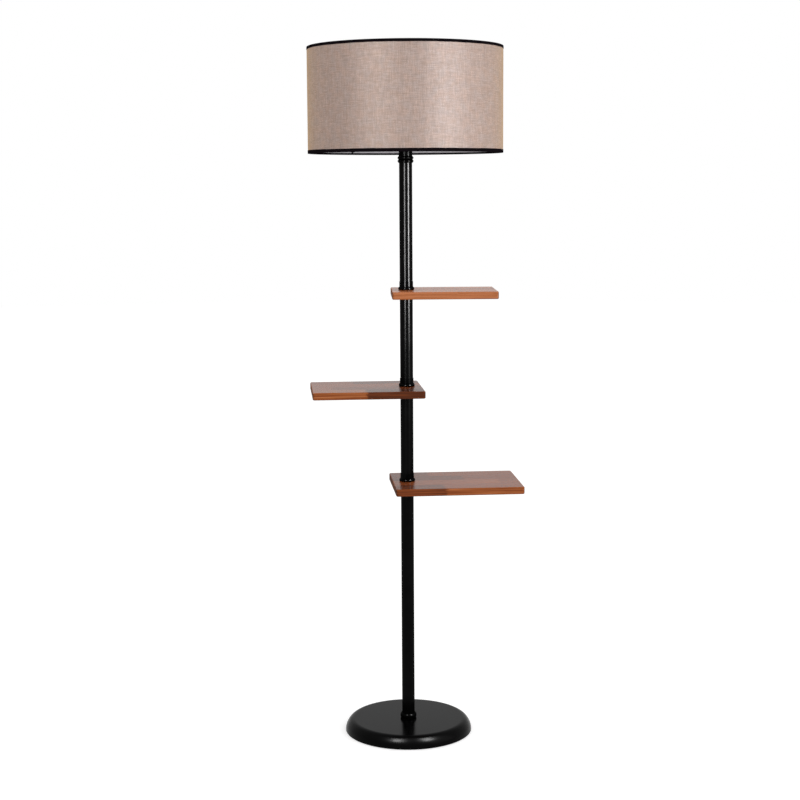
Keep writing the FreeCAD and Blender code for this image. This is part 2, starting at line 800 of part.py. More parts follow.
def make_lampholder(doc, size, level):
    """Cap, skirt, ceramic insert, screw shell and centre contact of the lampholder."""
    outside = level.holder_radius
    inside = level.holder_bore
    entry = size.holder_entry_diameter / 2
    floor = size.holder_cap_floor
    cap = Outline(level.thread_radius, ZERO)
    cap.line(entry, ZERO)
    cap.line(outside, size.holder_cap_slope)
    cap.line(outside, size.holder_cap_height)
    cap.line(inside, size.holder_cap_height)
    cap.line(inside, size.holder_cap_slope)
    cap.line(entry, floor)
    cap.line(level.thread_radius, floor)

    lip = inside + size.insert_lip
    lip_room = size.insert_lip_thickness + size.insert_gap
    skirt = Outline(lip, ZERO)
    skirt.line(size.holder_flange_diameter / 2, ZERO)
    skirt.line(size.holder_flange_diameter / 2, size.holder_flange_thickness)
    skirt.line(outside, size.holder_flange_thickness)
    skirt.line(outside, size.holder_skirt_height)
    skirt.line(inside, size.holder_skirt_height)
    skirt.line(inside, lip_room)
    skirt.line(lip, lip_room)

    stem = size.contact_stem_diameter / 2
    stem_hole = stem + size.thread_gap
    insert_body = inside - size.insert_gap
    insert = Outline(stem_hole, ZERO)
    insert.line(lip - size.insert_gap, ZERO)
    insert.line(lip - size.insert_gap, size.insert_lip_thickness)
    insert.line(insert_body, size.insert_lip_thickness)
    insert.line(insert_body, size.insert_height)
    insert.line(stem_hole, size.insert_height)

    shell_radius = size.screw_shell_diameter / 2
    shell_bore = shell_radius - size.screw_shell_wall
    shell = Outline(size.screw_shell_hole / 2, ZERO)
    shell.line(shell_radius, ZERO)
    shell.line(shell_radius, size.screw_shell_height)
    shell.line(shell_bore, size.screw_shell_height)
    shell.line(shell_bore, size.screw_shell_wall)
    shell.line(size.screw_shell_hole / 2, size.screw_shell_wall)

    head = size.contact_head_diameter / 2
    contact_top = size.insert_height + size.contact_head_thickness
    contact = Outline(ZERO, ZERO)
    contact.line(stem, ZERO)
    contact.line(stem, size.insert_height)
    contact.line(head, size.insert_height)
    contact.line(head, contact_top)
    contact.line(ZERO, contact_top)
    return [
        turned_body(doc, "holder_cap", cap, level.holder_bottom),
        turned_body(doc, "holder_skirt", skirt, level.skirt_bottom),
        turned_body(doc, "holder_insert", insert, level.skirt_bottom),
        turned_body(doc, "holder_screw_shell", shell, level.insert_top),
        turned_body(doc, "holder_contact", contact, level.skirt_bottom),
    ]


def make_ring_nut(doc, size, level):
    """Ring nut on the lampholder's skirt, with grip grooves round its rim."""
    outside = size.ring_nut_diameter / 2
    inside = level.holder_radius + size.ring_nut_gap
    body = padded_body(doc, "shade_ring_nut", ring_plan(outside, inside), size.ring_nut_height,
                       level.shade_seat + size.fitter_thickness)
    groove = cut_pocket(
        doc, body, "XY_Plane", "grip_groove",
        lambda sketch: draw_circle(sketch, outside + size.ring_nut_groove_diameter / 4, ZERO,
                                   size.ring_nut_groove_diameter / 2),
        reversed_cut=True)
    pattern = body.newObject("PartDesign::PolarPattern", "grip_grooves")
    pattern.Originals = [groove]
    pattern.Axis = (groove.Profile[0], ["N_Axis"])
    pattern.Angle = FULL_TURN
    bind(pattern, Occurrences=size.ring_nut_groove_count)
    body.Tip = pattern
    doc.recompute()
    return body


def make_bulb(doc, size, level):
    """Bulb: centre tip, black seal, screw cap, housing and opal globe."""
    tip_radius = size.bulb_tip_diameter / 2
    tip = Outline(ZERO, ZERO)
    tip.line(tip_radius, ZERO)
    tip.line(tip_radius, size.bulb_tip_height)
    tip.line(ZERO, size.bulb_tip_height)

    cap_radius = size.bulb_cap_diameter / 2
    cap_bore = cap_radius - size.bulb_cap_wall
    seal = Outline(ZERO, ZERO)
    seal.line(tip_radius, ZERO)
    seal.line(cap_bore, size.bulb_seal_height)
    seal.line(ZERO, size.bulb_seal_height)

    cap_floor = size.bulb_cap_wall
    cap = Outline(ZERO, ZERO)
    cap.line(cap_radius, ZERO)
    cap.line(cap_radius, size.bulb_cap_height)
    cap.line(cap_bore, size.bulb_cap_height)
    cap.line(cap_bore, cap_floor)
    cap.line(ZERO, cap_floor)

    globe_radius = size.bulb_diameter / 2
    neck_radius = size.bulb_neck_diameter / 2
    wall = size.bulb_globe_wall
    housing_height = size.bulb_housing_height
    housing = Outline(ZERO, ZERO)
    housing.line(neck_radius, ZERO)
    housing.line(neck_radius, size.bulb_neck_length)
    housing.line(globe_radius - wall, housing_height)
    housing.line(ZERO, housing_height)

    seal_bottom = level.bulb_bottom + size.bulb_tip_height
    cap_bottom = seal_bottom + size.bulb_seal_height
    housing_bottom = cap_bottom + size.bulb_cap_height
    globe_bottom = housing_bottom + housing_height
    globe_height = level.bulb_bottom + size.bulb_length - globe_bottom
    straight = globe_height - globe_radius
    inner_radius = globe_radius - wall
    globe = Outline(inner_radius, ZERO)
    globe.line(globe_radius, ZERO)
    globe.line(globe_radius, straight)
    globe.arc(ZERO, globe_height, globe_radius, 1)
    globe.line(ZERO, globe_height - wall)
    globe.arc(inner_radius, straight, inner_radius, -1)
    return [
        turned_body(doc, "bulb_tip", tip, level.bulb_bottom),
        turned_body(doc, "bulb_seal", seal, seal_bottom),
        turned_body(doc, "bulb_cap", cap, cap_bottom),
        turned_body(doc, "bulb_housing", housing, housing_bottom),
        turned_body(doc, "bulb_globe", globe, globe_bottom),
    ]


def make_shade_skins(doc, size, level):
    """Linen outside and white lining inside, both ending within the trims."""
    inset = size.trim_thickness + size.skin_gap
    length = size.shade_height - inset * 2
    bottom = level.shade_bottom + inset
    fabric = ring_plan(level.shade_radius, level.shade_radius - size.fabric_thickness)
    lining = ring_plan(level.lining_outside, level.lining_inside)
    return [padded_body(doc, "shade_fabric", fabric, length, bottom),
            padded_body(doc, "shade_lining", lining, length, bottom)]


def trim_outline(size, level, height, way):
    """A trim's folded section, from the edge up (way 1) or down (way -1)."""
    outside = level.shade_radius + size.skin_gap + size.trim_thickness
    face = level.shade_radius + size.skin_gap
    hem = level.wire_circle - level.wire_radius - size.ring_wire_gap
    back = hem - size.trim_thickness
    edge = size.trim_thickness * way
    outline = Outline(back, ZERO)
    outline.line(outside, ZERO)
    outline.line(outside, height * way)
    outline.line(face, height * way)
    outline.line(face, edge)
    outline.line(hem, edge)
    outline.line(hem, size.trim_return_height * way)
    outline.line(back, size.trim_return_height * way)
    return outline


def make_shade_trims(doc, size, level):
    """Black tape folded round each edge of the shade, over its ring wire."""
    bottom = trim_outline(size, level, size.bottom_trim_height, 1)
    top = trim_outline(size, level, size.top_trim_height, -1)
    return [turned_body(doc, "bottom_trim", bottom, level.shade_bottom),
            turned_body(doc, "top_trim", top, level.shade_top)]


def make_ring_wires(doc, size, level):
    """Steel ring wires in the folded trims."""
    lift = size.trim_thickness + size.ring_wire_gap + level.wire_radius
    wires = []
    for label, height in (("bottom_ring_wire", level.shade_bottom + lift),
                          ("top_ring_wire", level.shade_top - lift)):
        wire = doc.addObject("Part::Torus", label)
        wire.Label = label
        bind(wire, Radius1=level.wire_circle, Radius2=level.wire_radius)
        wires.append(place(wire, height=height))
    return wires


def make_spider(doc, size, level):
    """Fitter ring with three arms down to the lower ring wire."""
    fitter_radius = size.fitter_diameter / 2
    plan = ring_plan(fitter_radius, level.holder_radius + size.fitter_hole_gap)
    body = new_body(doc, "shade_spider", level.shade_seat, about_z(size.arm_start_angle.value))
    sketch = new_sketch(body, "XY_Plane", "fitter_plan")
    plan(sketch)
    pad = body.newObject("PartDesign::Pad", "fitter_ring")
    pad.Profile = sketch
    bind(pad, Length=size.fitter_thickness)

    arm_radius = size.arm_diameter / 2
    inner_end = fitter_radius - size.arm_overlap
    outer_end = level.lining_inside - size.arm_gap
    inner_height = size.fitter_thickness / 2
    outer_height = size.trim_return_height + size.arm_gap + arm_radius - size.shade_drop
    path = new_sketch(body, "XZ_Plane", "arm_path")
    inner_point = FreeCAD.Vector(inner_end.value, inner_height.value, 0)
    outer_point = FreeCAD.Vector(outer_end.value, outer_height.value, 0)
    run = add_run(path, inner_point, outer_point, None)
    pin_point(path, run, 1, inner_end, inner_height)
    pin_point(path, run, 2, outer_end, outer_height)
    section = new_sketch(body, "YZ_Plane", "arm_section")
    section.AttachmentOffset = FreeCAD.Placement(
        FreeCAD.Vector(0, 0, inner_end.value), FreeCAD.Rotation())
    section.setExpression("AttachmentOffset.Base.z", inner_end.formula)
    draw_circle(section, ZERO, inner_height, arm_radius)
    doc.recompute()
    arm = body.newObject("PartDesign::AdditivePipe", "arm")
    arm.Profile = section
    arm.Spine = (path, ["Edge1"])
    doc.recompute()
    pattern = body.newObject("PartDesign::PolarPattern", "arms")
    pattern.Originals = [arm]
    pattern.Axis = (sketch, ["N_Axis"])
    pattern.Angle = FULL_TURN
    bind(pattern, Occurrences=size.arm_count)
    body.Tip = pattern
    doc.recompute()
    return body


def make_lamp(doc, size):
    """Every piece of the lamp, in order from the floor up."""
    level = Levels(size)
    pieces = [
        make_base_felt(doc, size),
        make_base_weight(doc, size, level),
        make_base_cover(doc, size, level),
        make_cord_inlet(doc, size),
        make_base_washer(doc, size, level),
        make_base_nut(doc, size, level),
    ]
    pieces += make_terminal_block(doc, size, level)
    pieces.append(make_inner_lead(doc, size, level))
    pieces.append(make_foot_ring(doc, size, level))
    pieces += make_pole_tubes(doc, size, level)
    pieces += make_pipes(doc, size, level)
    pieces += make_shelf_collars(doc, size, level)
    pieces += make_shelves(doc, size, level)
    pieces.append(make_bead_collar(doc, size, level))
    pieces.append(make_neck(doc, size, level))
    pieces += make_lampholder(doc, size, level)
    pieces.append(make_ring_nut(doc, size, level))
    pieces += make_bulb(doc, size, level)
    pieces += make_shade_skins(doc, size, level)
    pieces += make_shade_trims(doc, size, level)
    pieces += make_ring_wires(doc, size, level)
    pieces.append(make_spider(doc, size, level))
    return pieces


def check_objects(doc, pieces):
    """Stop where an object failed to compute or a piece has no sound shape."""
    failed = [item.Name for item in doc.Objects if {"Invalid", "Error"} & set(item.State)]
    if failed:
        raise RuntimeError(f"failed objects: {failed}")
    for piece in pieces:
        shape = piece.Shape
        if shape.isNull() or not shape.isValid() or not shape.Solids:
            raise RuntimeError(f"{piece.Label} has no sound shape")


def write_pieces(pieces):
    """Write one STEP file for each piece."""
    os.makedirs("parts", exist_ok=True)
    for piece in pieces:
        piece.Shape.exportStep(os.path.join("parts", piece.Label + ".step"))
        print(f"{piece.Label}: {len(piece.Shape.Solids)} solids, {piece.Shape.Volume:.1f} mm3")


document = FreeCAD.newDocument("shelf_floor_lamp")
sizes = SizeSheet(document, DIMENSIONS)
lamp_pieces = make_lamp(document, sizes)
document.recompute()
check_objects(document, lamp_pieces)
write_pieces(lamp_pieces)
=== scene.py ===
"""Shelf floor lamp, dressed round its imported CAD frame.

Metres, +Z up. The floor is at z = 0 and the pole's axis is at x = y = 0.
"""

import json
import logging
import math
from collections.abc import Callable, Iterable, Sequence
from dataclasses import dataclass
from enum import Enum

import bmesh
import bpy
from mathutils import Matrix, Vector

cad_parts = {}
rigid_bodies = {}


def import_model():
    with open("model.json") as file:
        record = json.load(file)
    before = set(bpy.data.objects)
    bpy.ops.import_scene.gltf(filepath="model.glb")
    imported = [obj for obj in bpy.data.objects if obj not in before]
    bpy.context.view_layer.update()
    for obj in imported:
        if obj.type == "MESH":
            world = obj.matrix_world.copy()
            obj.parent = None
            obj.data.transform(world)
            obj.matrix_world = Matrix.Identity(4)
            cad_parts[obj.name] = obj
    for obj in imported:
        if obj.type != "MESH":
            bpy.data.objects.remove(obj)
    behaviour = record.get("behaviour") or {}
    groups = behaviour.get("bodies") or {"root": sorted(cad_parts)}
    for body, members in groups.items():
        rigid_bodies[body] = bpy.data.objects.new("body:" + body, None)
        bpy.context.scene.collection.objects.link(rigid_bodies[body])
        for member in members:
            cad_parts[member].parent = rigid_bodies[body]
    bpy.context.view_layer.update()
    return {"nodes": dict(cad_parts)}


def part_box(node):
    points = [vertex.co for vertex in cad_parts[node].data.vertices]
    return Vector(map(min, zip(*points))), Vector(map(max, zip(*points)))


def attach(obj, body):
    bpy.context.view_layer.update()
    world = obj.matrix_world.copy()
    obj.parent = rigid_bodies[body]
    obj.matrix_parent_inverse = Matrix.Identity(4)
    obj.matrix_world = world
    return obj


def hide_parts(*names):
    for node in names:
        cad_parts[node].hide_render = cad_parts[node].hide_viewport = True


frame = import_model()

CLOTH_MAP = "cloth_map"

Pair = tuple[float, float]
Triple = tuple[float, float, float]
Colour = Triple
Piece = bpy.types.Object
Material = bpy.types.Material
NodeTree = bpy.types.NodeTree
Node = bpy.types.Node
Socket = bpy.types.NodeSocket
Feed = Socket | float | Sequence[float]

WHITE: Colour = (1.0, 1.0, 1.0)
COOL: Colour = (0.81, 0.99, 1.12)
SOFT_COOL: Colour = (0.89, 1.0, 1.04)
# Most of a noise's values lie between these.
NOISE_LOW, NOISE_HIGH = 0.3, 0.7
# How far the dips of a thread go down, and how steep its sides are.
THREAD_DIP, THREAD_POWER = 0.45, 0.6
PATCH_SCALE = 55.0
# How far the fibres at a joint reach past each other, in metres.
RAGGED_REACH = 0.03
# A stave's number, from its row, its column and the board's seed, and what scatters its tone.
ROW_SHIFT, ROW_STEP, COLUMN_STEP = 0.37, 7.31, 3.17
SCATTER_STEP, SCATTER_SPAN = 12.9898, 437.585
RING_BEND, RING_POWER = 0.02, 1.6
WOOD_TONES: tuple[tuple[float, Colour], ...] = (
    (0.0, (0.045, 0.010, 0.003)), (0.25, (0.100, 0.024, 0.007)),
    (0.5, (0.220, 0.052, 0.013)), (0.72, (0.340, 0.098, 0.027)),
    (1.0, (0.540, 0.190, 0.078)))
PORE_COLOUR: Colour = (0.035, 0.010, 0.004)
END_GRAIN_COLOUR: Colour = (0.022, 0.011, 0.006)

log = logging.getLogger("shelf_lamp")


class Effect(Enum):
    """The node groups that several finishes share."""

    WEAVE = "woven_cloth"
    GRAIN = "board_grain"
    PEEL = "paint_peel"
    MOTTLE = "fine_mottle"


class Lit(Enum):
    """What a studio light falls on."""

    ALL = "everything"
    LACQUER = "lacquer"
    COVER = "cover"
    CLOTH = "cloth"


class Body(Enum):
    """The CAD bodies that pieces ride on."""

    STAND = "stand"
    SHADE = "shade"


class Graph:
    """Lays nodes into one shader tree and joins them."""

    def __init__(self, tree: NodeTree) -> None:
        """Keep the tree that the nodes go into."""
        self.tree = tree

    def node(self, kind: str, **settings: object) -> Node:
        """Add a node.

        Args:
            kind: The node's Blender type.
            **settings: Properties to set on it.

        Returns:
            The new node.
        """
        made = self.tree.nodes.new(kind)
        for key, value in settings.items():
            setattr(made, key, value)
        return made

    def feed(self, socket: Socket, value: Feed) -> None:
        """Link a socket, or set its constant.

        Args:
            socket: The input to feed.
            value: Another node's output, or a number, vector or colour.
        """
        if isinstance(value, Socket):
            self.tree.links.new(value, socket)
        elif socket.type == "RGBA" and len(value) == 3:
            socket.default_value = (*value, 1.0)
        else:
            socket.default_value = value

    def fill(self, node: Node, values: Iterable[Feed]) -> Node:
        """Feed a node's inputs in their order.

        Args:
            node: The node.
            values: What to feed them.

        Returns:
            The same node.
        """
        for socket, value in zip(node.inputs, values):
            self.feed(socket, value)
        return node

    def feed_all(self, node: Node, feeds: dict[str, Feed]) -> None:
        """Feed a node's inputs by their names."""
        for name, value in feeds.items():
            self.feed(node.inputs[name], value)

    def math(self, operation: str, *values: Feed, clamp: bool = False) -> Socket:
        """Do sums on numbers.

        Args:
            operation: The Math node's operation.
            *values: Its inputs, in order.
            clamp: Whether the result stays from 0 to 1.

        Returns:
            The result's socket.
        """
        made = self.node("ShaderNodeMath", operation=operation, use_clamp=clamp)
        return self.fill(made, values).outputs[0]

    def scale_add(self, value: Feed, factor: Feed, added: Feed) -> Socket:
        """Multiply a number by a factor and add another."""
        return self.math("MULTIPLY_ADD", value, factor, added)

    def vector(self, operation: str, *values: Feed) -> Socket:
        """Do sums on vectors.

        Args:
            operation: The Vector Math node's operation.
            *values: Its inputs, in order.

        Returns:
            The result's socket.
        """
        made = self.node("ShaderNodeVectorMath", operation=operation)
        return self.fill(made, values).outputs[0]

    def combine(self, x: Feed, y: Feed, z: Feed) -> Socket:
        """Make a vector of three numbers."""
        return self.fill(self.node("ShaderNodeCombineXYZ"), (x, y, z)).outputs[0]

    def separate(self, vector: Feed) -> tuple[Socket, ...]:
        """Take a vector apart into its three numbers."""
        return tuple(self.fill(self.node("ShaderNodeSeparateXYZ"), (vector,)).outputs)

    def noise(self, vector: Feed, scale: float, detail: float, roughness: float) -> Socket:
        """Add a noise pattern.

        Args:
            vector: Where to read it.
            scale: Its scale.
            detail: How many finer layers it has.
            roughness: How strong the finer layers are.

        Returns:
            The value, near 0.5 on the average.
        """
        made = self.node("ShaderNodeTexNoise")
        self.feed_all(made, {"Vector": vector, "Scale": scale, "Detail": detail,
                             "Roughness": roughness})
        return made.outputs["Fac"]

    def remap(self, value: Feed, low: Feed, high: Feed, new_low: Feed = 0.0,
              new_high: Feed = 1.0) -> Socket:
        """Map one range onto another, with soft ends.

        Args:
            value: The number to map.
            low: The start of its range.
            high: The end of its range.
            new_low: What low becomes.
            new_high: What high becomes.

        Returns:
            The mapped number.
        """
        made = self.node("ShaderNodeMapRange", interpolation_type="SMOOTHSTEP")
        return self.fill(made, (value, low, high, new_low, new_high)).outputs[0]

    def stretch(self, noise: Feed, new_low: Feed = 0.0, new_high: Feed = 1.0) -> Socket:
        """Map a noise's usual values onto a range."""
        return self.remap(noise, NOISE_LOW, NOISE_HIGH, new_low, new_high)

    def blend(self, factor: Feed, first: Feed, second: Feed, mode: str = "MIX") -> Socket:
        """Mix two colours.

        Args:
            factor: How much of the second shows.
            first: The first colour.
            second: The second colour.
            mode: How they are mixed.

        Returns:
            The mixed colour.
        """
        made = self.node("ShaderNodeMix", data_type="RGBA", blend_type=mode)
        self.feed(made.inputs["Factor"], factor)
        self.feed(made.inputs[6], first)
        self.feed(made.inputs[7], second)
        return made.outputs[2]

    def pick(self, factor: Feed, first: Feed, second: Feed) -> Socket:
        """Go from one number to another.

        Args:
            factor: How far to go, from 0 to 1.
            first: The number at 0.
            second: The number at 1.

        Returns:
            The number in between.
        """
        made = self.node("ShaderNodeMix", data_type="FLOAT")
        for place, value in ((0, factor), (2, first), (3, second)):
            self.feed(made.inputs[place], value)
        return made.outputs[0]

    def ramp(self, value: Feed, stops: Sequence[tuple[float, Colour]]) -> Socket:
        """Turn a number into a colour.

        Args:
            value: The number.
            stops: Places from 0 to 1 with their colours.

        Returns:
            The colour.
        """
        made = self.node("ShaderNodeValToRGB")
        elements = made.color_ramp.elements
        while len(elements) < len(stops):
            elements.new(0.5)
        for element, (place, colour) in zip(elements, stops):
            element.position = place
            element.color = (*colour, 1.0)
        self.feed(made.inputs[0], value)
        return made.outputs[0]

    def bump(self, height: Feed, distance: float) -> Socket:
        """Turn a height into a normal.

        Args:
            height: The height, from 0 to 1.
            distance: How far 1 stands up, in metres.

        Returns:
            The normal.
        """
        made = self.node("ShaderNodeBump")
        self.feed_all(made, {"Distance": distance, "Height": height})
        return made.outputs["Normal"]


@dataclass(frozen=True)
class Layer:
    """One noise of the grain, drawn out along the board."""

    scale: Triple
    detail: float
    roughness: float

    def draw(self, graph: Graph, place: Socket) -> Socket:
        """Add the layer's noise at a place."""
        return graph.noise(graph.vector("MULTIPLY", place, self.scale), 1.0, self.detail,
                           self.roughness)


STRANDS = Layer((14.0, 640.0, 640.0), 2.0, 0.6)
BEND = Layer((3.0, 14.0, 14.0), 2.0, 0.5)
STREAKS = Layer((8.0, 240.0, 240.0), 4.0, 0.6)
FIBRES = Layer((28.0, 1300.0, 1300.0), 3.0, 0.6)
PORES = Layer((95.0, 2100.0, 2100.0), 1.0, 0.5)


class EffectLibrary:
    """Builds each shared effect once and places it in materials."""

    def __init__(self) -> None:
        """Start with no effect built."""
        self.built: dict[Effect, NodeTree] = {}
        self.makers: dict[Effect, Callable[[], NodeTree]] = {
            Effect.WEAVE: self.make_weave,
            Effect.GRAIN: self.make_grain,
            Effect.PEEL: self.make_peel,
            Effect.MOTTLE: self.make_mottle,
        }

    def place(self, graph: Graph, effect: Effect, **values: Feed) -> Node:
        """Put an effect in a material.

        Args:
            graph: The material's graph.
            effect: Which effect.
            **values: Its inputs, with _ for a space in their names.

        Returns:
            The group node.
        """
        if effect not in self.built:
            self.built[effect] = self.makers[effect]()
        made = graph.node("ShaderNodeGroup", node_tree=self.built[effect])
        graph.feed_all(made, {name.replace("_", " ").title(): value
                              for name, value in values.items()})
        return made

    @staticmethod
    def start(effect: Effect, numbers: Iterable[str],
              results: Iterable[str]) -> tuple[Graph, Node, Node]:
        """Begin a node group that reads a place and some numbers and puts out values.

        Args:
            effect: Which effect it is for.
            numbers: Names of its number inputs.
            results: Names of its number outputs.

        Returns:
            Its graph, its input node and its output node.
        """
        tree = bpy.data.node_groups.new(effect.value, "ShaderNodeTree")
        tree.interface.new_socket(name="Vector", in_out="INPUT", socket_type="NodeSocketVector")
        for name in numbers:
            tree.interface.new_socket(name=name, in_out="INPUT", socket_type="NodeSocketFloat")
        for name in results:
            tree.interface.new_socket(name=name, in_out="OUTPUT", socket_type="NodeSocketFloat")
        graph = Graph(tree)
        return graph, graph.node("NodeGroupInput"), graph.node("NodeGroupOutput")

    def make_weave(self) -> NodeTree:
        """Plain weave of warp and weft threads with slubs, read in metres of cloth.

        Returns:
            The node group.
        """
        graph, given, result = self.start(
            Effect.WEAVE, ("Warp Pitch", "Weft Pitch", "Slub Width", "Slub Length"),
            ("Height", "Warp On Top", "Thread", "Slub", "Patch"))
        across, along, _ = graph.separate(given.outputs["Vector"])
        warp_count = graph.math("DIVIDE", across, given.outputs["Warp Pitch"])
        weft_count = graph.math("DIVIDE", along, given.outputs["Weft Pitch"])
        warp_number = graph.math("FLOOR", warp_count)
        weft_number = graph.math("FLOOR", weft_count)
        on_top = graph.math("FLOORED_MODULO", graph.math("ADD", warp_number, weft_number), 2.0)

        def crown(count: Socket) -> Socket:
            """The round back of a thread, from 0 at its sides to 1."""
            return graph.math("SINE", graph.math("MULTIPLY", graph.math("FRACT", count), math.pi))

        warp_crown, weft_crown = crown(warp_count), crown(weft_count)

        def thread_height(over: Socket, beside: Socket) -> Socket:
            """Height of a thread that lies on top and dips at its ends."""
            dip = graph.scale_add(beside, THREAD_DIP, 1.0 - THREAD_DIP)
            return graph.math("MULTIPLY", graph.math("POWER", over, THREAD_POWER), dip)

        lift = graph.pick(on_top, thread_height(weft_crown, warp_crown),
                          thread_height(warp_crown, weft_crown))

        def own_tone(number: Socket, offset: float) -> Socket:
            """Each thread's own tone."""
            made = graph.node("ShaderNodeTexWhiteNoise", noise_dimensions="1D")
            graph.feed(made.inputs["W"], graph.math("ADD", number, offset))
            return made.outputs["Value"]

        thread = graph.pick(on_top, own_tone(weft_number, 0.5), own_tone(warp_number, 71.5))

        def slubs(first: Socket, second: Socket, layer: float) -> Socket:
            """Long thick places in the threads that run along the second direction."""
            thin = graph.math("DIVIDE", first, given.outputs["Slub Width"])
            long = graph.math("DIVIDE", second, given.outputs["Slub Length"])
            return graph.noise(graph.combine(thin, long, layer), 1.0, 3.0, 0.6)

        both = graph.math("ADD", slubs(across, along, 3.7), slubs(along, across, 11.2))
        patch = graph.noise(graph.combine(across, along, 5.0), PATCH_SCALE, 2.0, 0.6)
        graph.feed_all(result, {
            "Height": lift, "Warp On Top": on_top, "Thread": thread,
            "Slub": graph.math("MULTIPLY", both, 0.5), "Patch": patch})
        return graph.tree

    def make_grain(self) -> NodeTree:
        """Grain of a board glued up from staves, read in metres from its front left corner.

        Returns:
            The node group.
        """
        graph, given, result = self.start(
            Effect.GRAIN, ("Seed", "Stave Width", "Stave Length", "First Joint", "Ring Spacing"),
            ("Stave", "Ring", "Streak", "Fibre", "Pore"))
        x, y, z = graph.separate(given.outputs["Vector"])
        row = graph.math("FLOOR", graph.math("DIVIDE", y, given.outputs["Stave Width"]))
        strands = STRANDS.draw(graph, given.outputs["Vector"])
        ragged = graph.scale_add(strands, RAGGED_REACH,
                                 graph.math("SUBTRACT", x, RAGGED_REACH / 2))
        past_joint = graph.math("SUBTRACT", ragged, given.outputs["First Joint"])
        stagger = graph.scale_add(row, ROW_SHIFT, 1.0)
        column = graph.math("FLOOR", graph.math(
            "ADD", graph.math("DIVIDE", past_joint, given.outputs["Stave Length"]), stagger))
        number = graph.scale_add(
            row, ROW_STEP, graph.scale_add(column, COLUMN_STEP, given.outputs["Seed"]))
        swing = graph.math("SINE", graph.math("MULTIPLY", number, SCATTER_STEP))
        spin = graph.math("MULTIPLY", swing, SCATTER_SPAN)
        stave = graph.math("FRACT", spin)
        other = graph.math("FRACT", graph.math("MULTIPLY", spin, 0.173))
        away_y = graph.math("ADD", y, graph.scale_add(stave, 0.16, -0.08))
        away_z = graph.math("ADD", z, graph.scale_add(other, 0.12, 0.03))
        place = graph.combine(graph.math("ADD", x, stave), away_y, away_z)
        radius = graph.math("SQRT", graph.scale_add(
            away_y, away_y, graph.math("MULTIPLY", away_z, away_z)))
        wavy = graph.scale_add(BEND.draw(graph, place), RING_BEND, radius)
        turns = graph.math("DIVIDE", wavy, given.outputs["Ring Spacing"])
        ring = graph.math("POWER", graph.scale_add(graph.math(
            "SINE", graph.math("MULTIPLY", turns, math.tau)), 0.5, 0.5), RING_POWER)
        graph.feed_all(result, {
            "Stave": stave, "Ring": ring, "Streak": STREAKS.draw(graph, place),
            "Fibre": FIBRES.draw(graph, place),
            "Pore": graph.remap(PORES.draw(graph, place), 0.64, 0.74)})
        return graph.tree

    def make_peel(self) -> NodeTree:
        """Slight waves of sprayed and baked paint.

        Returns:
            The node group.
        """
        graph, given, result = self.start(Effect.PEEL, ("Size",), ("Height", "Cloud"))
        waves = graph.vector("DIVIDE", given.outputs["Vector"], given.outputs["Size"])
        graph.feed_all(result, {
            "Height": graph.noise(waves, 1.0, 1.5, 0.45),
            "Cloud": graph.noise(given.outputs["Vector"], 38.0, 3.0, 0.55)})
        return graph.tree

    def make_mottle(self) -> NodeTree:
        """Patches and specks of a cast, moulded or plated surface.

        Returns:
            The node group.
        """
        graph, given, result = self.start(Effect.MOTTLE, ("Size",), ("Patch", "Speck", "Height"))
        places = graph.vector("DIVIDE", given.outputs["Vector"], given.outputs["Size"])
        patch = graph.noise(places, 0.12, 3.0, 0.6)
        speck = graph.noise(places, 1.0, 2.0, 0.6)
        height = graph.scale_add(speck, 0.7, graph.math("MULTIPLY", patch, 0.3))
        graph.feed_all(result, {"Patch": patch, "Speck": speck, "Height": height})
        return graph.tree


EFFECTS = EffectLibrary()


def start_material(name: str) -> tuple[Material, Graph, Node]:
    """Make an empty material with its shader.

    Args:
        name: The material's name.

    Returns:
        The material, its graph and its Principled shader.
    """
    made = bpy.data.materials.new(name)
    made.use_nodes = True
    made.node_tree.nodes.clear()
    graph = Graph(made.node_tree)
    shader = graph.node("ShaderNodeBsdfPrincipled")
    output = graph.node("ShaderNodeOutputMaterial")
    graph.feed(output.inputs["Surface"], shader.outputs["BSDF"])
    return made, graph, shader


@dataclass(frozen=True)
class BlackLacquer:
    """Satin black paint, sprayed and baked, with or without a clear coat over it."""

    name: str
    shade: float = 0.0006
    roughness: float = 0.19
    roughness_spread: float = 0.03
    level_roughness: float = 0.19
    specular: float = 0.0
    clear_coat: float = 0.07
    peel_size: float = 0.0022
    peel_depth: float = 0.0000006
    cloud_lift: float = 1.7
    blueness: float = 1.06
    coat_spread: float = 0.15
    cloud_range: Pair = (0.25, 0.75)
    level_range: Pair = (0.93, 0.995)

    def material(self) -> Material:
        """Build the finish.

        Returns:
            The material.
        """
        made, graph, shader = start_material(self.name)
        coordinates = graph.node("ShaderNodeTexCoord")
        waves, cloud = EFFECTS.place(
            graph, Effect.PEEL, vector=coordinates.outputs["Object"], size=self.peel_size).outputs
        dark = (self.shade, self.shade, self.shade * self.blueness)
        light = tuple(channel * self.cloud_lift for channel in dark)
        _, _, upward = graph.separate(coordinates.outputs["Normal"])
        level = graph.remap(upward, *self.level_range, self.roughness, self.level_roughness)
        spread = graph.remap(cloud, *self.cloud_range, -self.roughness_spread / 2,
                             self.roughness_spread / 2)
        graph.feed_all(shader, {
            "Base Color": graph.blend(cloud, dark, light),
            "Roughness": graph.math("ADD", level, spread),
            "Specular IOR Level": self.specular, "Coat Roughness": self.roughness,
            "Normal": graph.bump(waves, self.peel_depth)})
        if self.clear_coat:
            graph.feed(shader.inputs["Coat Weight"], graph.remap(
                cloud, *self.cloud_range, self.clear_coat * (1 - self.coat_spread),
                self.clear_coat * (1 + self.coat_spread)))
        return made


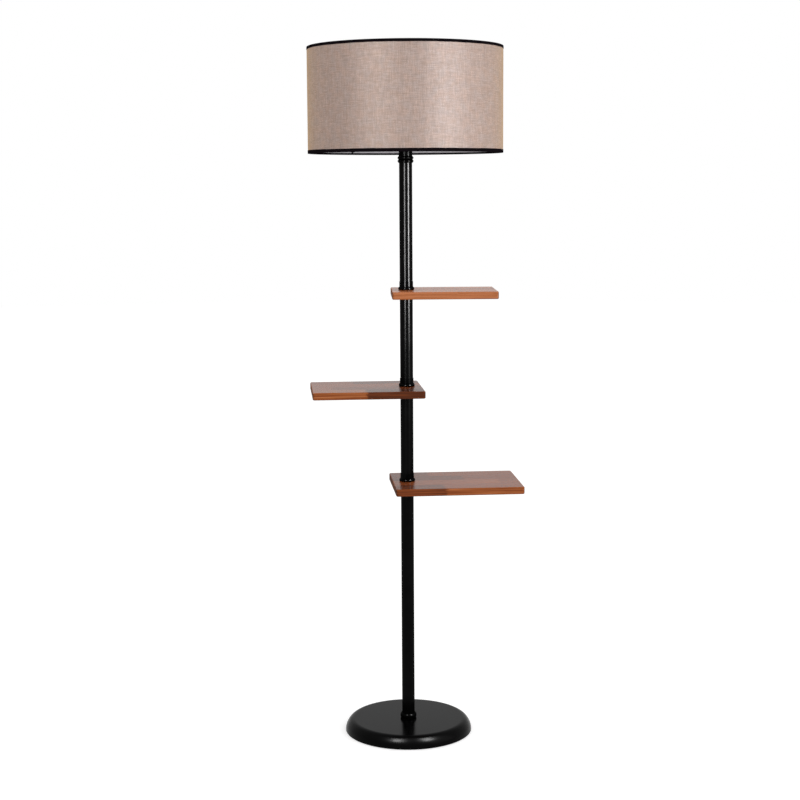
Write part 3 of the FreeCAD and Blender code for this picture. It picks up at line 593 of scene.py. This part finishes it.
@dataclass(frozen=True)
class Mottled:
    """A plain cast, moulded, plated or drawn surface with its own specks."""

    name: str
    dark: Colour
    light: Colour
    roughness: float = 0.45
    roughness_spread: float = 0.12
    metallic: float = 0.0
    specular: float = 0.3
    size: float = 0.0012
    depth: float = 0.00002
    milky: float = 0.0
    milky_reach: float = 0.004

    def material(self) -> Material:
        """Build the finish.

        Returns:
            The material.
        """
        made, graph, shader = start_material(self.name)
        place = graph.node("ShaderNodeTexCoord").outputs["Object"]
        patch, speck, height = EFFECTS.place(
            graph, Effect.MOTTLE, vector=place, size=self.size).outputs
        tone = graph.stretch(graph.scale_add(patch, 0.6, graph.math("MULTIPLY", speck, 0.4)))
        graph.feed_all(shader, {
            "Base Color": graph.blend(tone, self.dark, self.light),
            "Roughness": graph.stretch(speck, self.roughness - self.roughness_spread / 2,
                                       self.roughness + self.roughness_spread / 2),
            "Normal": graph.bump(height, self.depth),
            "Metallic": self.metallic, "Specular IOR Level": self.specular})
        if self.milky:
            graph.feed_all(shader, {"Subsurface Weight": self.milky,
                                    "Subsurface Radius": (self.milky_reach,) * 3})
        return made


@dataclass(frozen=True)
class VarnishedBoard:
    """A varnished hardwood board, glued up from staves, with x along its grain."""

    name: str
    corner: Triple
    seed: float
    first_joint: float
    stave_width: float
    turn: float = 0.0
    stave_length: float = 0.21
    ring_spacing: float = 0.0052
    # How much lighter a board is painted, as painted light.
    painted_light_lift: float = 0.0
    roughness: float = 0.27
    end_roughness: float = 0.85
    edge_roughness: float = 0.5
    # How much darker the tops are painted: painted shade.
    painted_top_shade: float = 0.12
    top_streak: float = 0.55
    side_streak: float = 1.0
    base_tone: float = 0.11
    stave_depth: float = 0.54
    ring_depth: float = 0.14
    fibre_depth: float = 0.16
    # How strong the painted highlight and painted shade on the rounded edges are, and where those
    # edges lie.
    painted_edge_light_depth: float = 0.16
    worn_and_lit_range: Pair = (0.86, 0.99)
    pore_share: float = 0.4
    end_share: float = 0.7
    specular: float = 0.088
    grain_depth: float = 0.000007

    def material(self) -> Material:
        """Build the finish.

        Returns:
            The material.
        """
        made, graph, shader = start_material(self.name)
        coordinates = graph.node("ShaderNodeTexCoord")

        def along_board(socket: Socket) -> Socket:
            """A vector turned so that x runs along the board."""
            turned = graph.node("ShaderNodeVectorRotate", rotation_type="Z_AXIS")
            graph.feed(turned.inputs["Vector"], socket)
            turned.inputs["Angle"].default_value = -self.turn
            return turned.outputs[0]

        place = graph.vector("SUBTRACT", along_board(coordinates.outputs["Object"]), self.corner)
        stave, ring, streak, fibre, pore = EFFECTS.place(
            graph, Effect.GRAIN, vector=place, seed=self.seed, stave_width=self.stave_width,
            stave_length=self.stave_length, first_joint=self.first_joint,
            ring_spacing=self.ring_spacing).outputs
        facing = graph.vector("ABSOLUTE", along_board(coordinates.outputs["Normal"]))
        facing_end, facing_front, facing_top = graph.separate(facing)
        end_grain = graph.remap(facing_end, 0.6, 0.9)
        flatness = graph.math("MAXIMUM", facing_end, graph.math(
            "MAXIMUM", facing_front, facing_top))
        worn_and_lit_edge = graph.remap(flatness, *self.worn_and_lit_range, 1.0, 0.0)
        _, _, upward = graph.separate(coordinates.outputs["Normal"])
        # Rounded edges are painted lighter where they face up and darker where they face down: a
        # painted highlight and painted shade. The same edge mask also makes them rougher from
        # wear.
        painted_edge_light_and_shade = graph.math("MULTIPLY", worn_and_lit_edge, graph.remap(upward, -0.3, 0.3, -1.5, 1.0))
        # Faces that look up. Their tone is painted darker as painted shade, and their streaks are
        # fainter.
        on_top = graph.remap(facing_top, 0.7, 0.97)
        streak_depth = graph.remap(on_top, 0.0, 1.0, self.side_streak, self.top_streak)
        tone: Feed = self.base_tone + self.painted_light_lift
        for value, depth in (
                (stave, self.stave_depth), (graph.math("SUBTRACT", streak, 0.5), streak_depth),
                (ring, self.ring_depth), (fibre, self.fibre_depth),
                (painted_edge_light_and_shade, self.painted_edge_light_depth), (on_top, -self.painted_top_shade)):
            tone = graph.scale_add(value, depth, tone)
        colour = graph.ramp(tone, WOOD_TONES)
        for mask, share, darker in ((pore, self.pore_share, PORE_COLOUR),
                                    (end_grain, self.end_share, END_GRAIN_COLOUR)):
            colour = graph.blend(graph.math("MULTIPLY", mask, share), colour, darker)
        polished = graph.stretch(fibre, self.roughness - 0.03, self.roughness + 0.05)
        rubbed = graph.remap(worn_and_lit_edge, 0.0, 1.0, polished, self.edge_roughness)
        height = graph.scale_add(pore, -0.6, graph.math("MULTIPLY", fibre, 0.35))
        graph.feed_all(shader, {
            "Base Color": colour,
            "Roughness": graph.remap(end_grain, 0.0, 1.0, rubbed, self.end_roughness),
            "Specular IOR Level": self.specular,
            "Normal": graph.bump(height, self.grain_depth)})
        return made


@dataclass(frozen=True)
class WovenCloth:
    """A plain-woven cloth with slubs, laid out by its cloth map."""

    name: str
    warp: Colour
    weft: Colour
    shadow: Colour
    warp_pitch: float
    weft_pitch: float
    slub_width: float
    slub_length: float
    slub_strength: float
    roughness: float
    specular: float
    depth: float
    thread_spread: float = 0.16
    gloss: float = 0.0
    sheen: float = 0.0
    sheen_roughness: float = 0.35
    sheen_tint: Colour = WHITE
    warm_patch: Colour = WHITE
    cool_patch: Colour = WHITE

    def material(self) -> Material:
        """Build the finish.

        Returns:
            The material.
        """
        made, graph, shader = start_material(self.name)
        cloth = graph.node("ShaderNodeUVMap", uv_map=CLOTH_MAP)
        height, warp_on_top, thread, slub, patch = EFFECTS.place(
            graph, Effect.WEAVE, vector=cloth.outputs["UV"], warp_pitch=self.warp_pitch,
            weft_pitch=self.weft_pitch, slub_width=self.slub_width,
            slub_length=self.slub_length).outputs
        colour = graph.blend(warp_on_top, self.weft, self.warp)
        for tint in (
                graph.scale_add(thread, self.thread_spread, 1.0 - self.thread_spread / 2),
                graph.stretch(slub, 1.0 - self.slub_strength, 1.0 + self.slub_strength),
                graph.blend(graph.stretch(patch), self.warm_patch, self.cool_patch)):
            colour = graph.blend(1.0, colour, tint, "MULTIPLY")
        between = graph.remap(height, 0.1, 0.55, 1.0, 0.0)
        graph.feed_all(shader, {
            "Base Color": graph.blend(between, colour, self.shadow),
            "Roughness": graph.remap(height, 0.1, 0.9, min(1.0, self.roughness + 0.1),
                                     self.roughness),
            "Specular IOR Level": self.specular, "Metallic": self.gloss,
            "Sheen Weight": self.sheen, "Sheen Roughness": self.sheen_roughness,
            "Sheen Tint": self.sheen_tint,
            "Normal": graph.bump(height, self.depth)})
        return made


Finish = BlackLacquer | Mottled | VarnishedBoard | WovenCloth


def dress(finish: Finish, *nodes: str) -> None:
    """Give CAD nodes one finish.

    Args:
        finish: The finish to build.
        *nodes: The names of the nodes.
    """
    material = finish.material()
    for name in nodes:
        piece = frame["nodes"][name]
        for slot in piece.material_slots:
            slot.material = material
        log.info("dressed %s in %s", name, material.name)


def add_piece(maker: bmesh.types.BMesh, name: str) -> Piece:
    """Put a finished mesh in the scene.

    Args:
        maker: The mesh, which this frees.
        name: The piece's name.

    Returns:
        The piece.
    """
    mesh = bpy.data.meshes.new(name)
    maker.to_mesh(mesh)
    maker.free()
    piece = bpy.data.objects.new(name, mesh)
    bpy.context.scene.collection.objects.link(piece)
    return piece


def settle(piece: Piece, body: Body, slot: str, *nodes: str) -> None:
    """Put a new piece in its CAD nodes' place.

    Args:
        piece: The piece.
        body: The body it rides on.
        slot: The record's material slot; not used.
        *nodes: The CAD nodes that it stands for.
    """
    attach(piece, body.value)
    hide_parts(*nodes)
    log.info("%s stands for %s", piece.name, ", ".join(nodes))


def loft(name: str, outline: Sequence[Pair], angles: Sequence[float],
         shift: Callable[[float, int], Pair]) -> Piece:
    """Sweep an outline round the axis as an open sheet with a cloth map in metres.

    Args:
        name: The piece's name.
        outline: Points of radius and height, so ordered that the faces look outward.
        angles: The angles of its columns, in radians.
        shift: Gives the radius and height to add, from an angle and a point's number.

    Returns:
        The piece.
    """
    maker = bmesh.new()
    cloth = maker.loops.layers.uv.new(CLOTH_MAP)
    reference = max(radius for radius, _ in outline)
    walked = [0.0]
    for (r_a, z_a), (r_b, z_b) in zip(outline, outline[1:]):
        walked.append(walked[-1] + math.hypot(r_b - r_a, z_b - z_a))
    columns = []
    for angle in angles:
        column = []
        for number, (radius, height) in enumerate(outline):
            outward, upward = shift(angle, number)
            spread = radius + outward
            column.append(maker.verts.new((spread * math.cos(angle), spread * math.sin(angle),
                                           height + upward)))
        columns.append(column)
    for index in range(len(columns) - 1):
        for step in range(len(outline) - 1):
            corners = ((index, step), (index, step + 1), (index + 1, step + 1),
                       (index + 1, step))
            face = maker.faces.new([columns[i][j] for i, j in corners])
            face.smooth = True
            for loop, (i, j) in zip(face.loops, corners):
                loop[cloth].uv = ((angles[i] - angles[0]) * reference, walked[j])
    return add_piece(maker, name)


def thicken(piece: Piece, thickness: float) -> None:
    """Give a sheet its thickness, inward from its outer face."""
    solid = piece.modifiers.new("thickness", "SOLIDIFY")
    solid.thickness = thickness
    solid.offset = -1.0


@dataclass
class WeightedBase:
    """The pressed cover with the weight, felt and fittings under it."""

    felt_wall: float = 0.0022
    felt_columns: int = 180
    felt_fray: float = 0.0003
    fray_waves: tuple[int, int] = (23, 57)

    def build(self) -> None:
        """Dress the base and lay its felt."""
        dress(BlackLacquer("cover_lacquer", roughness=0.24, roughness_spread=0.02,
                           level_roughness=0.2, specular=0.032, clear_coat=0.0,
                           peel_size=0.0026, peel_depth=0.0000007), "base_cover")
        dress(Mottled("cast_cement", (0.30, 0.29, 0.27), (0.50, 0.48, 0.45), 0.9, 0.1,
                      size=0.0015, depth=0.00025), "base_weight")
        dress(Mottled("inlet_rubber", (0.012,) * 3, (0.022,) * 3, 0.6, 0.1,
                      specular=0.2), "cord_inlet")
        dress(Mottled("zinc_hardware", (0.42, 0.43, 0.44), (0.66, 0.67, 0.68), 0.34, 0.12,
                      metallic=1.0), "base_washer", "base_nut")
        dress(Mottled("terminal_moulding", (0.66, 0.65, 0.62), (0.78, 0.77, 0.74), 0.4),
              "terminal_block")
        dress(Mottled("terminal_brass", (0.52, 0.36, 0.13), (0.72, 0.52, 0.22), 0.3, 0.1,
                      metallic=1.0), "terminal_screws")
        self.lay_felt()

    def lay_felt(self) -> None:
        """Cut the felt disc with its slightly frayed rim."""
        low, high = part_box("base_felt")
        radius = (high.x - low.x) / 2
        maker = bmesh.new()
        rim = []
        for index in range(self.felt_columns):
            angle = math.tau * index / self.felt_columns
            coarse, fine = (math.sin(angle * waves + turn)
                            for turn, waves in enumerate(self.fray_waves))
            reach = radius - self.felt_fray + self.felt_fray * (coarse + fine) / 2
            rim.append(maker.verts.new((reach * math.cos(angle), reach * math.sin(angle),
                                        high.z)))
        maker.faces.new(rim)
        felt = add_piece(maker, "felt_disc")
        thicken(felt, self.felt_wall)
        felt.data.materials.append(Mottled(
            "pressed_felt", (0.010, 0.010, 0.011), (0.035, 0.035, 0.037), 1.0, 0.0,
            specular=0.05, size=0.0006, depth=0.0003).material())
        settle(felt, Body.STAND, "felt", "base_felt")


@dataclass
class Pole:
    """The tubes, collars and hidden pipes of the pole."""

    visible: tuple[str, ...] = ("pole_tube_1", "pole_tube_2", "pole_tube_3", "pole_tube_4")
    turned: tuple[str, ...] = ("collar_bottom", "collar_middle", "collar_top")
    satin: tuple[str, ...] = ("foot_ring", "bead_collar", "neck_cup")
    hidden: tuple[str, ...] = ("tube_plugs", "base_pipe", "shelf_pipes", "neck_pipe")

    def build(self) -> None:
        """Dress the pole."""
        dress(BlackLacquer("tube_lacquer"), *self.visible)
        dress(BlackLacquer("turned_lacquer", roughness=0.17, clear_coat=0.05,
                           peel_size=0.0014), *self.turned)
        dress(BlackLacquer("satin_lacquer", roughness=0.22, clear_coat=0.035,
                           peel_size=0.0014), *self.satin)
        dress(Mottled("zinc_pipe", (0.40, 0.41, 0.42), (0.62, 0.63, 0.64), 0.38, 0.14,
                      metallic=1.0), *self.hidden)
        dress(Mottled("lead_jacket", (0.014, 0.014, 0.015), (0.026, 0.026, 0.028), 0.5),
              "inner_lead")


@dataclass
class Shelves:
    """The three turning boards."""

    top_turn: float = math.radians(-3.2)

    def build(self) -> None:
        """Dress each board in its own staves."""
        dress(VarnishedBoard("bottom_board_wood", corner=(-0.0345, -0.1085, 0.588), seed=4.43,
                             first_joint=0.115, stave_width=0.0543), "shelf_bottom")
        dress(VarnishedBoard("middle_board_wood", corner=(-0.2225, -0.104, 0.813), seed=0.29,
                             first_joint=0.1225, stave_width=0.052), "shelf_middle")
        # The top board is painted lighter because it stands nearer the lamps: painted light.
        dress(VarnishedBoard("top_board_wood", corner=(-0.0345, -0.091, 1.038), seed=2.86,
                             first_joint=0.15, stave_width=0.0456, turn=self.top_turn,
                             painted_light_lift=0.22), "shelf_top")


@dataclass
class Lampholder:
    """The screw lampholder and the nut that clamps the shade."""

    black: tuple[str, ...] = ("holder_cap", "holder_skirt", "shade_ring_nut")

    def build(self) -> None:
        """Dress the lampholder."""
        dress(Mottled("phenolic_black", (0.010,) * 3, (0.018,) * 3, 0.32,
                      specular=0.35), *self.black)
        dress(Mottled("glazed_ceramic", (0.74, 0.73, 0.70), (0.84, 0.83, 0.80), 0.2, 0.08),
              "holder_insert")
        dress(Mottled("holder_brass", (0.50, 0.34, 0.12), (0.70, 0.50, 0.21), 0.32,
                      metallic=1.0), "holder_screw_shell", "holder_contact")


@dataclass
class Bulb:
    """The unlit bulb."""

    def build(self) -> None:
        """Dress the bulb."""
        dress(Mottled("cap_nickel", (0.56, 0.55, 0.53), (0.74, 0.73, 0.71), 0.28,
                      metallic=1.0), "bulb_cap")
        dress(Mottled("tip_brass", (0.48, 0.40, 0.26), (0.66, 0.56, 0.38), 0.34,
                      metallic=1.0), "bulb_tip")
        dress(Mottled("seal_glass", (0.012, 0.012, 0.014), (0.02, 0.02, 0.022), 0.15),
              "bulb_seal")
        dress(Mottled("housing_moulding", (0.76, 0.76, 0.75), (0.83, 0.83, 0.82), 0.36),
              "bulb_housing")
        dress(Mottled("opal_diffuser", (0.82, 0.82, 0.80), (0.88, 0.88, 0.86), 0.38, 0.06,
                      milky=0.3), "bulb_globe")


@dataclass
class DrumShade:
    """The linen drum with its lining, folded trims, ring wires and spider."""

    cloth_wall: float = 0.0005
    tape_wall: float = 0.0005
    columns: int = 384
    rows: int = 12
    edge_loop: float = 0.0004
    seam: float = math.radians(78)
    overlap: float = 0.012
    overlap_lift: float = 0.00046
    tape_lift: float = 0.0005
    lap_ramp: float = 0.006
    # Count, turn and height of each wave in a trim's hand-folded edge.
    wander: tuple[tuple[int, float, float], ...] = ((9, 1.0, 0.00012), (31, 0.0, 0.00008))
    # Inward and rising from the drum's edge, down the outside and round the ring wire.
    fold: tuple[Pair, ...] = (
        (0.0, 0.0022), (-0.00003, 0.0012), (-0.00014, 0.0006), (-0.00038, 0.0002),
        (-0.0008, 0.00003), (-0.0018, 0.0), (-0.0035, 0.0), (-0.0046, 0.0003),
        (-0.0053, 0.0010), (-0.00565, 0.0020), (-0.00562, 0.0030), (-0.0053, 0.0038),
        (-0.0048, 0.0043))

    def build(self) -> None:
        """Make the cloth, fold the trims and dress the rest."""
        # The white lining is painted grey for the dimmer light inside the drum: painted shade.
        dress(Mottled("shade_laminate", (0.60, 0.58, 0.61), (0.68, 0.66, 0.69), 0.5, 0.1,
                      size=0.003, depth=0.00001), "shade_lining")
        dress(Mottled("wire_enamel", (0.010,) * 3, (0.017,) * 3, 0.35,
                      specular=0.2), "bottom_ring_wire", "top_ring_wire", "shade_spider")
        self.wrap_cloth()
        tape = self.tape_finish().material()
        self.fold_trim("bottom_tape", "bottom_trim", tape, 1.0)
        self.fold_trim("top_tape", "top_trim", tape, -1.0)

    def sweep(self, radius: float) -> list[float]:
        """Angles of a band's columns, from its seam round to past its start.

        Args:
            radius: The band's radius.

        Returns:
            The angles, in radians.
        """
        past = self.overlap / radius
        count = self.columns
        return [self.seam + (math.tau + past) * index / count for index in range(count + 1)]

    def lap(self, angle: float, radius: float, lift: float) -> float:
        """Lift a band's last part onto its first.

        Args:
            angle: Where on the band, in radians.
            radius: The band's radius.
            lift: How far its last part stands out.

        Returns:
            How far it stands out there.
        """
        reach = (angle - self.seam - math.tau) * radius
        ramp = min(max((reach + self.lap_ramp) / self.lap_ramp, 0.0), 1.0)
        return lift * ramp * ramp * (3 - 2 * ramp)

    def linen_finish(self) -> WovenCloth:
        """The shade's linen."""
        return WovenCloth(
            "shade_linen", warp=(0.47, 0.355, 0.305), weft=(0.40, 0.300, 0.262),
            shadow=(0.25, 0.18, 0.145), warp_pitch=0.0009, weft_pitch=0.0009,
            slub_width=0.0014, slub_length=0.02, slub_strength=0.26, roughness=0.45,
            specular=0.0, depth=0.00007, gloss=0.12, sheen=0.75, sheen_tint=(0.62, 0.36, 0.05),
            warm_patch=(1.03, 0.99, 0.965), cool_patch=(0.97, 1.0, 1.03))

    def tape_finish(self) -> WovenCloth:
        """The black tape of the trims."""
        return WovenCloth(
            "trim_tape", warp=(0.0060, 0.0042, 0.0056), weft=(0.0085, 0.0060, 0.0078),
            shadow=(0.0030, 0.0024, 0.0030), warp_pitch=0.0008, weft_pitch=0.0006,
            slub_width=0.001, slub_length=0.01, slub_strength=0.1, roughness=0.8,
            specular=0.0, depth=0.00012)

    def wrap_cloth(self) -> None:
        """Wrap the linen round the lining, with its glued lap at the back."""
        low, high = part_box("shade_fabric")
        radius = high.x
        span = high.z - low.z
        drops = [span * step / self.rows for step in range(self.rows + 1)]
        drops[1:1] = [self.edge_loop]
        drops[-1:-1] = [span - self.edge_loop]
        outline = [(radius, high.z - drop) for drop in drops]
        cloth = loft("linen_skin", outline, self.sweep(radius),
                     lambda angle, _: (self.lap(angle, radius, self.overlap_lift), 0.0))
        thicken(cloth, self.cloth_wall)
        cloth.data.materials.append(self.linen_finish().material())
        settle(cloth, Body.SHADE, "linen", "shade_fabric")

    def fold_trim(self, name: str, node: str, tape: Material, side: float) -> None:
        """Fold a tape over one edge of the drum and round its ring wire.

        Args:
            name: The piece's name.
            node: The CAD trim that it stands for.
            tape: The tape's material.
            side: 1 at the bottom edge and -1 at the top edge.
        """
        low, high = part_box(node)
        edge = low.z if side > 0 else high.z
        outer = high.x
        leg = high.z - low.z
        outline = [(outer + inward, edge + side * rise)
                   for inward, rise in ((0.0, leg), (0.0, leg * 0.7), *self.fold)]
        if side < 0:
            outline.reverse()
        free = 0 if side > 0 else len(outline) - 1

        def shift(angle: float, number: int) -> Pair:
            """The lap at the tape's end, and a hand-folded edge that wanders a little."""
            wander = sum(height * math.sin(angle * count + turn)
                         for count, turn, height in self.wander)
            return (self.lap(angle, outer, self.tape_lift),
                    wander if number == free else 0.0)

        band = loft(name, outline, self.sweep(outer), shift)
        thicken(band, self.tape_wall)
        band.data.materials.append(tape)
        settle(band, Body.SHADE, "black_tape", node)


@dataclass(frozen=True)
class SoftBox:
    """A soft box aimed at the pole. One that is not for all gives only its gloss."""

    name: str
    azimuth: float
    distance: float
    height: float
    width: float
    tall: float
    power: float
    falls_on: Lit = Lit.ALL
    colour: Colour = WHITE
    spread: float = 180.0
    drop: float = 0.0


@dataclass
class Studio:
    """The floor, the white surroundings, the lamps and the photograph's camera."""

    heading: float = math.radians(-4.5)
    floor_radius: float = 14.0
    floor_sides: int = 96
    floor_tone: float = 0.8
    floor_glow: float = 0.42
    ambient: float = 0.85
    camera_place: Triple = (-0.03026, -3.70284, 1.29942)
    camera_forward: Triple = (0.00383136, 0.99091295, -0.13445016)
    camera_up: Triple = (0.00645207, 0.13442385, 0.99090292)
    focal_pixels: float = 1597.8
    frame_pixels: int = 800
    sensor_width: float = 36.0
    boxes: tuple[SoftBox, ...] = (
        SoftBox("key_box", 62.0, 2.8, 1.6, 2.4, 2.2, 25.0),
        SoftBox("key_strip", 48.0, 1.5, 1.27, 0.34, 0.80, 245.0, Lit.LACQUER),
        SoftBox("fill_strip", -21.0, 1.5, 1.27, 0.34, 0.80, 117.0, Lit.LACQUER),
        SoftBox("rim_key", 41.7, 1.6, 1.72, 0.52, 0.75, 170.0, Lit.COVER, drop=1.72),
        SoftBox("rim_fill", -25.1, 1.6, 1.72, 0.52, 0.75, 155.0, Lit.COVER, drop=1.72),
        SoftBox("key_glow", 46.0, 1.5, 1.5, 0.5, 1.1, 33.0, Lit.CLOTH, COOL),
        SoftBox("side_glow", 98.0, 1.5, 1.5, 0.7, 1.1, 5.0, Lit.CLOTH, COOL),
        SoftBox("fill_glow", -26.0, 1.5, 1.5, 0.5, 1.1, 18.0, Lit.CLOTH, SOFT_COOL),
        SoftBox("edge_glow", -38.0, 2.8, 1.74, 0.5, 0.44, 0.6, Lit.CLOTH, SOFT_COOL, 20.0),
    )
    lit_finishes: tuple[tuple[Lit, tuple[str, ...]], ...] = (
        (Lit.LACQUER, ("tube_lacquer", "turned_lacquer", "satin_lacquer")),
        (Lit.COVER, ("cover_lacquer",)),
        (Lit.CLOTH, ("shade_linen",)),
    )

    def build(self) -> None:
        """Set the studio up."""
        self.lay_floor()
        self.light_world()
        shares = {share: self.gather(share, finishes) for share, finishes in self.lit_finishes}
        for box in self.boxes:
            self.hang(box, shares)
        self.place_camera()

    @staticmethod
    def gather(share: Lit, finishes: Sequence[str]) -> bpy.types.Collection:
        """Collect the pieces that wear some finishes.

        Args:
            share: What the collection is for.
            finishes: The names of the finishes.

        Returns:
            The collection, which only the lights read.
        """
        held = bpy.data.collections.new(share.value)
        for piece in bpy.context.scene.objects:
            if any(slot.material and slot.material.name in finishes
                   for slot in piece.material_slots):
                held.objects.link(piece)
        return held

    def turned(self) -> Matrix:
        """The turn from the photograph's heading to the frame's."""
        return Matrix.Rotation(self.heading, 3, "Z")

    @staticmethod
    def white_to_the_eye(graph: Graph) -> Socket:
        """1 for camera, glossy and transmission rays, which see the white surroundings."""
        path = graph.node("ShaderNodeLightPath")
        seen = graph.math("ADD", path.outputs["Is Camera Ray"], path.outputs["Is Glossy Ray"])
        return graph.math("ADD", seen, path.outputs["Is Transmission Ray"], clamp=True)

    def lay_floor(self) -> None:
        """Lay a plain pale floor that keeps the shadow and can be seen through from below."""
        maker = bmesh.new()
        bmesh.ops.create_circle(maker, cap_ends=True, segments=self.floor_sides,
                               radius=self.floor_radius)
        floor = add_piece(maker, "studio_floor")
        made, graph, shader = start_material("studio_floor")
        glow = graph.math("MULTIPLY", self.white_to_the_eye(graph), self.floor_glow)
        underneath = graph.node("ShaderNodeNewGeometry").outputs["Backfacing"]
        graph.feed_all(shader, {
            "Base Color": (self.floor_tone,) * 3, "Roughness": 1.0, "Specular IOR Level": 0.0,
            "Emission Color": WHITE, "Emission Strength": glow,
            "Alpha": graph.math("SUBTRACT", 1.0, underneath)})
        floor.data.materials.append(made)

    def light_world(self) -> None:
        """Surround the studio with white that lights the lamp softly."""
        world = bpy.data.worlds.new("studio_white")
        world.use_nodes = True
        world.node_tree.nodes.clear()
        graph = Graph(world.node_tree)
        background = graph.node("ShaderNodeBackground")
        strength = graph.pick(self.white_to_the_eye(graph), self.ambient, 1.0)
        graph.feed_all(background, {"Color": WHITE, "Strength": strength})
        output = graph.node("ShaderNodeOutputWorld")
        graph.feed(output.inputs["Surface"], background.outputs[0])
        bpy.context.scene.world = world

    def hang(self, box: SoftBox, shares: dict[Lit, bpy.types.Collection]) -> None:
        """Hang one soft box.

        Args:
            box: Which one.
            shares: The pieces that each share of the light falls on.
        """
        lamp = bpy.data.lights.new(box.name, "AREA")
        lamp.shape = "RECTANGLE"
        lamp.size = box.width
        lamp.size_y = box.tall
        lamp.energy = box.power
        lamp.color = box.colour
        lamp.spread = math.radians(box.spread)
        hung = bpy.data.objects.new(box.name, lamp)
        bpy.context.scene.collection.objects.link(hung)
        azimuth = math.radians(box.azimuth)
        outward = self.turned() @ Vector((math.sin(azimuth), -math.cos(azimuth), 0.0))
        hung.location = outward * box.distance + Vector((0.0, 0.0, box.height))
        aim = Vector((0.0, 0.0, box.height - box.drop)) - hung.location
        hung.rotation_euler = aim.to_track_quat("-Z", "Y").to_euler()
        hung.visible_camera = False
        if box.falls_on in shares:
            hung.visible_diffuse = False
            hung.light_linking.receiver_collection = shares[box.falls_on]
        log.info("%s hangs at %.0f degrees", box.name, box.azimuth)

    def place_camera(self) -> None:
        """Stand the camera where the photograph was taken."""
        lens = bpy.data.cameras.new("photo_camera")
        lens.sensor_width = self.sensor_width
        lens.lens = self.focal_pixels / self.frame_pixels * self.sensor_width
        camera = bpy.data.objects.new("photo_camera", lens)
        bpy.context.scene.collection.objects.link(camera)
        forward, up = Vector(self.camera_forward), Vector(self.camera_up)
        axes = Matrix((forward.cross(up), up, -forward)).transposed()
        camera.matrix_world = Matrix.Translation(
            self.turned() @ Vector(self.camera_place)) @ (self.turned() @ axes).to_4x4()
        bpy.context.scene.camera = camera


def main() -> None:
    """Dress the lamp and set up its studio."""
    logging.basicConfig(level=logging.INFO, format="%(name)s: %(message)s")
    bpy.context.scene.view_settings.view_transform = "Standard"
    for part in (WeightedBase(), Pole(), Shelves(), Lampholder(), Bulb(), DrumShade(), Studio()):
        part.build()
        log.info("%s done", type(part).__name__)


if __name__ == "__main__":
    main()
